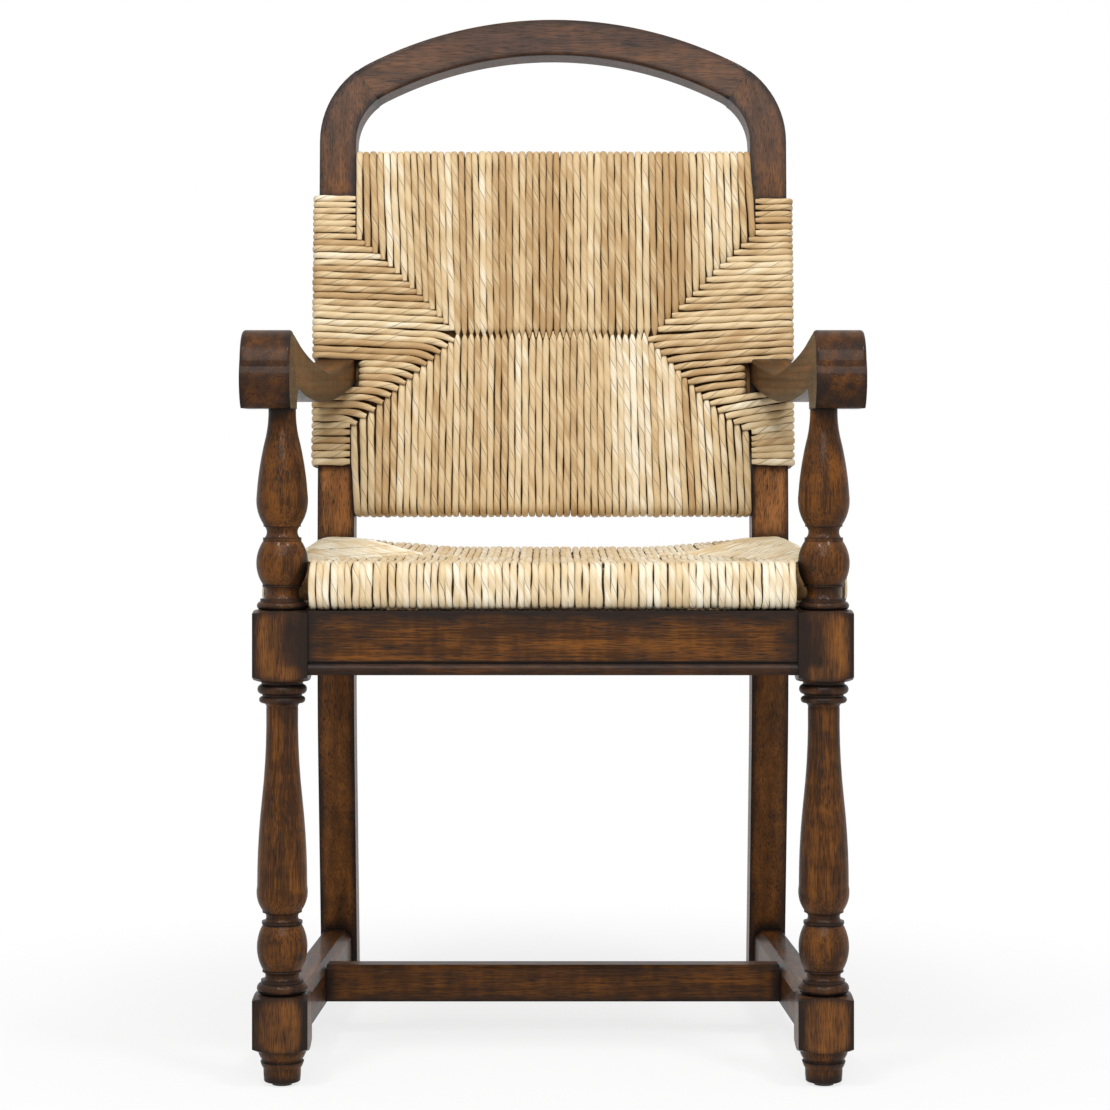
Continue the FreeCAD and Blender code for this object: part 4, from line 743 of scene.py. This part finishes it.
def row_shape(hand):
    """How far out each row of cords round a post ends, how much it sags and how its tip bends down."""
    start, swell = LOWER_SAG[hand]
    lower_sag = start * (1 - lower_share) + swell * np.sin(np.pi * lower_share ** SWELL_POWER)
    sag = np.where(row_is_upper, UPPER_SAG + UPPER_SAG_GROWTH * row_share, lower_sag)
    partner = np.clip(row_partner, 0, CORNER_ROWS - 1)
    inner = partner if hand == LEFT else -1 - partner
    over = CORD if hand == RIGHT else 0
    upper_tips, lower_tips = np.abs(upper_tip_across)[inner], np.abs(lower_tip_across)[inner]
    corner = np.where(row_is_upper, upper_tips - over, lower_tips - CORD)
    outmost = np.where(row_is_upper, upper_tips[0], lower_tips[0])
    end = np.where(row_partner < 0, np.maximum(outmost + CORD, BACK_INNER), corner)
    return end, sag, np.where(row_is_upper | (row_partner < 0), 0, ROW_BEND[hand])


def upright_ends(tip_across, upward):
    """Heights where upright cords end: at the row that meets each at the diagonal, or past the seam.

    The upper left ones go on by a cord, because the rows are tucked under them there.
    """
    ends = np.full(len(tip_across), SEAM_UP + (LOWER_PAST_SEAM if upward else UPPER_PAST_SEAM))
    partner = np.arange(CORNER_ROWS)
    rows = WRAPS - 1 - PLAIN_ROWS - partner if upward else PLAIN_ROWS + partner
    for hand in (LEFT, RIGHT):
        end, sag, bend = row_shape(hand)
        level = (row_up[hand] - sag * (BACK_SIDE - CORD - end) - bend)[rows]
        if hand == LEFT and not upward:
            level = level - CORD
        ends[partner if hand == LEFT else len(ends) - 1 - partner] = level
    return ends


def back_uprights(name, at_rail, at_tip, upward):
    """Cords over the top or bottom rail, in to the diagonals at the sides and to the seam between.

    Each is a line over the rail's edge that ends on the diagonal. There the tips are tucked under
    the rows, except at the upper left; along the seam the tips of both sets taper and interleave.
    """
    edge = BACK_FOOT + CORD if upward else BACK_TOP - CORD
    count = len(at_rail)
    reach = np.abs(edge - upright_ends(at_tip, upward)) + rng.normal(0, UPRIGHT_SCATTER, count)
    inset, through, so_far, whole = over_edge(reach, BACK_DEPTH, UPRIGHT_CORNERS, BACK_RINGS)
    first, last = tips(so_far, whole, UPRIGHT_TIP)
    at_seam = (np.minimum(np.arange(count), np.arange(count)[::-1]) >= CORNER_ROWS)[:, None]
    tuck = np.where(at_rail[:, None] > 0, UPRIGHT_TUCK, UPRIGHT_TUCK if upward else RAISED)
    through = through + (first - last) * np.where(at_seam, SEAM_TUCK, tuck)
    across = at_rail[:, None] + (at_tip - at_rail)[:, None] * inset / reach[:, None]
    across = across + waves(so_far, *UPRIGHT_WAVES)
    up = edge + (inset if upward else -inset)
    girth = CORD * (1 - np.where(at_seam, SEAM_TAPER, UPRIGHT_TAPER) * (first + last))
    # The lower uprights are paler: painted light for the weaker light low on the back
    tones = bundled_tones(BACK_TONE + LOWER_PAINTED_LIGHT * upward, BACK_TONE_SPREAD, count)
    return sweep_cords(name, "back_weave", on_back(across, up, through), ACROSS, so_far, girth, tones)


def back_wraps(name, hand):
    """Cords round a post from diagonal to diagonal; those at the arm turn in beside the post.

    They sag towards the middle and lie over the uprights' tips, except at the upper left, where
    they are tucked under them.
    """
    end, sag, bend = row_shape(hand)
    at_arm = (row_up[hand] > ARM_GAP[0]) & (row_up[hand] < ARM_GAP[1])
    edge = np.where(at_arm, ARM_SLOT[hand] - CORD, BACK_SIDE - CORD)
    reach = np.maximum(edge - end, LEAST_ROW)
    inset, through, so_far, whole = over_edge(reach, BACK_DEPTH, ROW_CORNERS, BACK_RINGS)
    first, last = tips(so_far, whole, ROW_TIP)
    out = BACK_SIDE - CORD - edge[:, None] + inset
    droop = np.clip(1 - np.minimum(so_far, whole - so_far) / BEND_LENGTH, 0, 1) ** 2
    up = row_up[hand][:, None] - sag[:, None] * out - bend[:, None] * droop
    up = up + rng.normal(0, ROW_SCATTER, (WRAPS, 1)) + waves(so_far, *ROW_WAVES)
    tuck = np.where(row_is_upper & (row_partner >= 0), ROW_TUCK if hand == LEFT else RAISED, RAISED)
    through = through + (first - last) * tuck[:, None]
    spacing = np.abs(np.gradient(row_up[hand])) / (2 * CORD)
    girth = CORD * spacing[:, None] * (1 - ROW_TAPER * (first + last))
    tones = bundled_tones(BACK_TONE, ROW_TONE_SPREAD, WRAPS)
    across = hand * (edge[:, None] - inset)
    return sweep_cords(name, "back_weave", on_back(across, up, through), BACK_UP, so_far, girth, tones)


back_uprights("back_upper_cords", upper_rail_across, upper_tip_across, False)
back_uprights("back_lower_cords", lower_rail_across, lower_tip_across, True)
back_wraps("back_left_cords", LEFT)
back_wraps("back_right_cords", RIGHT)

# Woven seat
# The same cord is worked over the four boards of the seat frame, from the corners to the middle.
# Front and rear sets meet at a seam; the side sets fill the triangles, packed up into pillows.
SEAT_RIM, SEAT_BASE = 0.4758, 0.431
SEAT_DEPTH, SEAT_RINGS = 0.040, 90
SEAT_FRONT, SEAT_REAR = -0.2429, 0.2081
SEAT_SIDE, SEAT_TAPER = {LEFT: 0.2687, RIGHT: 0.2712}, 0.0218
SEAT_NOTCH, SEAT_REAR_NOTCH = 0.2205, 0.2065
SEAT_NOTCH_Y, SEAT_REAR_NOTCH_Y = -0.1924, 0.1696
SEAT_SEAM_Y, SEAT_SEAM_HALF = -0.0174, 0.12
# Heights of the pillows, of the seam's valley and of the rear corners, and where they rise and fall
SEAT_PILLOW, PILLOW_RISE, PILLOW_EDGE, PILLOW_FALL = 0.0145, 0.072, 0.224, 0.013
SEAT_VALLEY, VALLEY_RISE = 0.004, 0.05
REAR_CORNER, REAR_CORNER_FROM, REAR_CORNER_WIDTH, REAR_CORNER_LENGTH = 0.0075, 0.09, 0.12, 0.15
SEAT_TONE, SEAT_TONE_SPREAD = 0.67, 0.11
# Cords: radius, tips, and for the sets over the ends and over the sides their number and their run
SEAT_CORD, SEAT_TIP, SEAT_TIP_TAPER, CORD_SCATTER = 0.00325, 0.012, 0.5, 0.0004
FRONT_CORDS, REAR_CORDS, SIDE_CORDS = 68, 62, 52
END_CORNERS, END_TUCK, END_WAVES = (0.0125, 0.011), 0.005, (0.0005, 0.03, 0.07)
SIDE_CORNERS, SIDE_TUCK, SIDE_WAVES = (0.0095, 0.009), 0.004, (0.0005, 0.05, 0.12)
PAST_SEAT_SEAM, END_SCATTER, BOARD_SCATTER = 0.004, 0.001, 0.0008
SIDE_CORDS_FROM, LEAST_SIDE_CORD = -0.183, 0.036
LENGTHWISE = np.array([0, 1.0, 0])


def diagonal(back):
    """How far out the diagonals lie at a place from front to back."""
    fore = back < SEAT_SEAM_Y
    notch = np.where(fore, SEAT_NOTCH, SEAT_REAR_NOTCH)
    notch_y = np.where(fore, SEAT_NOTCH_Y, SEAT_REAR_NOTCH_Y)
    outward = np.clip((back - SEAT_SEAM_Y) / (notch_y - SEAT_SEAM_Y), 0, 1)
    return SEAT_SEAM_HALF + (notch - SEAT_SEAM_HALF) * outward


def on_seat(across, back, through):
    """A place on the seat in the chair's frame: through runs from the top of the weave to its base.

    The top is at a rim's height along the edges and the diagonals. It sinks a little between
    them to the seam, swells into a pillow inside each side's triangle and rises to the rear corners.
    """
    share = np.clip((back - SEAT_FRONT) / (SEAT_REAR - SEAT_FRONT), 0, 1)
    beyond = np.abs(across) - diagonal(back)
    inside = smooth(beyond / PILLOW_RISE) * (1 - smooth((np.abs(across) - PILLOW_EDGE) / PILLOW_FALL))
    bow = np.sin(np.pi * share)
    rear_corner = (REAR_CORNER * smooth((np.abs(across) - REAR_CORNER_FROM) / REAR_CORNER_WIDTH)
                   * smooth((back - SEAT_SEAM_Y) / REAR_CORNER_LENGTH))
    top = (SEAT_RIM - SEAT_VALLEY * bow * smooth(-beyond / VALLEY_RISE) + rear_corner * (1 - inside)
           + SEAT_PILLOW * inside * np.sqrt(bow) - CORD)
    base = SEAT_BASE + CORD
    return np.stack(np.broadcast_arrays(across, back, top + (base - top) * through / SEAT_DEPTH), -1)


def over_board(reach, corners, tuck):
    """Lines over a board of the seat frame, their tapered tips tucked in along seam and diagonals.

    Gives inset from the edge, depth through, length so far and the radius at each ring.
    """
    inset, through, so_far, whole = over_edge(reach, SEAT_DEPTH, corners, SEAT_RINGS)
    first, last = tips(so_far, whole, SEAT_TIP)
    girth = SEAT_CORD * (1 - SEAT_TIP_TAPER * (first + last))
    return inset, through + (first - last) * tuck, so_far, girth


def seat_lengths(name, edge, inward, notch, notch_y, count):
    """Cords over the front or rear board, in to the diagonals at the sides and to the seam between."""
    across = np.linspace(-1, 1, count) * (notch - CORD) + rng.normal(0, CORD_SCATTER, count)
    outward = np.clip((np.abs(across) - SEAT_SEAM_HALF) / (notch - SEAT_SEAM_HALF), 0, 1)
    end = SEAT_SEAM_Y + (notch_y - SEAT_SEAM_Y) * outward + rng.normal(0, END_SCATTER, count)
    end = end + inward * np.where(outward > 0, 0, PAST_SEAT_SEAM)
    inset, through, so_far, girth = over_board(np.abs(end - edge), END_CORNERS, END_TUCK)
    uneven = np.abs(rng.normal(0, BOARD_SCATTER, (count, 1)))
    lines = on_seat(across[:, None] + waves(so_far, *END_WAVES),
                    edge + inward * (inset + uneven), through)
    tones = bundled_tones(SEAT_TONE, SEAT_TONE_SPREAD, count)
    return sweep_cords(name, "seat_weave", lines, ACROSS, so_far, girth, tones)


def seat_sides(name, hand, count):
    """Cords over a side board, in over its pillow of packing to the two diagonals."""
    back = np.linspace(SIDE_CORDS_FROM, SEAT_REAR_NOTCH_Y - CORD, count)
    back = back + rng.normal(0, CORD_SCATTER, count)
    along_side = (back - SEAT_NOTCH_Y) / (SEAT_REAR_NOTCH_Y - SEAT_NOTCH_Y)
    edge = SEAT_SIDE[hand] - SEAT_TAPER * along_side - CORD
    reach = np.maximum(edge - diagonal(back), LEAST_SIDE_CORD)
    inset, through, so_far, girth = over_board(reach, SIDE_CORNERS, SIDE_TUCK)
    lines = on_seat(hand * (edge[:, None] - inset), back[:, None] + waves(so_far, *SIDE_WAVES), through)
    tones = bundled_tones(SEAT_TONE, SEAT_TONE_SPREAD, count)
    return sweep_cords(name, "seat_weave", lines, LENGTHWISE, so_far, girth, tones)


seat_lengths("seat_front_cords", SEAT_FRONT + CORD, 1, SEAT_NOTCH, SEAT_NOTCH_Y, FRONT_CORDS)
seat_lengths("seat_rear_cords", SEAT_REAR - CORD, -1, SEAT_REAR_NOTCH, SEAT_REAR_NOTCH_Y, REAR_CORDS)
seat_sides("seat_left_cords", LEFT, SIDE_CORDS)
seat_sides("seat_right_cords", RIGHT, SIDE_CORDS)

# Studio floor, lamps and camera
# A pale floor that shows white to the eye and keeps a soft shadow, two small lamps high in front to
# the left and right, and a large one between them. The camera is level, a little above the seat.
FLOOR_HALF = 6.0
FLOOR_GREY, WHITE = (0.86, 0.86, 0.86, 1), (1, 1, 1, 1)
SHADOW_SPAN, SHADOW_SHARE = (0.3, 0.9), 0.22
AMBIENT = 0.32
SEEN_RAYS = ("Is Camera Ray", "Is Glossy Ray", "Is Transmission Ray")


def seen_directly(start):
    """1 for rays of the camera, of reflections and through glass, and 0 for light on its way."""
    camera_ray, glossy_ray, passing_ray = (start.node("LightPath", output=ray) for ray in SEEN_RAYS)
    return (camera_ray + glossy_ray + passing_ray).math("MINIMUM", 1.0)


def studio_floor():
    """A square floor, white by itself where it is seen, partly lit and so in shadow near the chair."""
    material, start, shader = new_finish("studio_floor")
    start.feed(shader, {"Base Color": FLOOR_GREY, "Roughness": 0.9})
    white = start.node("Emission", None, {"Color": WHITE, "Strength": 1.0})
    away = start.node("VectorMath", {"operation": "LENGTH"}, {0: start.place()}, "Value")
    share = seen_directly(start) * (away.rise(*SHADOW_SPAN) * SHADOW_SHARE + (1 - SHADOW_SHARE))
    lit = Finish(start.tree, shader.outputs[0])
    mixed = start.node("MixShader", None, {0: share, 1: lit, 2: white})
    start.tree.links.new(mixed.socket, start.tree.nodes["Material Output"].inputs[0])
    mesh = bpy.data.meshes.new("studio_floor")
    corners = [(x * FLOOR_HALF, y * FLOOR_HALF, 0) for x, y in ((-1, -1), (1, -1), (1, 1), (-1, 1))]
    mesh.from_pydata(corners, [], [(0, 1, 2, 3)])
    mesh.materials.append(material)
    floor = bpy.data.objects.new("studio_floor", mesh)
    bpy.context.scene.collection.objects.link(floor)
    floor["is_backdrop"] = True


def studio_world(ambient):
    """White where it is seen directly; a plain level of light for the rest."""
    world = bpy.data.worlds.new("studio_world")
    world.use_nodes = True
    start = Finish(world.node_tree)
    start.feed(world.node_tree.nodes["Background"], {
        "Color": WHITE, "Strength": seen_directly(start) * (1 - ambient) + ambient})
    bpy.context.scene.world = world


def soft_lamp(name, place, target, size, power):
    """A square lamp that faces a target."""
    light = bpy.data.lights.new(name, "AREA")
    light.size = size
    light.energy = power
    lamp = bpy.data.objects.new(name, light)
    bpy.context.scene.collection.objects.link(lamp)
    lamp.location = place
    lamp.rotation_euler = (lamp.location - target).to_track_quat("Z", "Y").to_euler()


studio_floor()
studio_world(AMBIENT)
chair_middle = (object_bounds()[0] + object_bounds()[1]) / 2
soft_lamp("left_lamp", (-0.92, -1.81, 3.1), chair_middle, size=0.5, power=35)
soft_lamp("right_lamp", (1.19, -1.64, 3.1), chair_middle, size=0.5, power=33)
soft_lamp("front_lamp", (0, -2.7, 2.4), chair_middle, size=1.8, power=51)

IMAGE_SIZE = 1110
CHAIR_MIDDLE_PIXEL, HORIZON_PIXEL = 553, 450
VIEW_DISTANCE, VIEW_HEIGHT, VIEW_WIDTH = 2.65, 0.576, 0.999
camera_data = bpy.data.cameras.new("front_camera")
camera_data.lens = camera_data.sensor_width * VIEW_DISTANCE / VIEW_WIDTH
camera_data.shift_x = (IMAGE_SIZE / 2 - CHAIR_MIDDLE_PIXEL) / IMAGE_SIZE
camera_data.shift_y = (HORIZON_PIXEL - IMAGE_SIZE / 2) / IMAGE_SIZE
camera = bpy.data.objects.new("front_camera", camera_data)
bpy.context.scene.collection.objects.link(camera)
camera.location = (0, SEAT_FRONT - VIEW_DISTANCE, VIEW_HEIGHT)
camera.rotation_euler = (np.pi / 2, 0, 0)
bpy.context.scene.camera = camera
bpy.context.scene.view_settings.view_transform = "Standard"
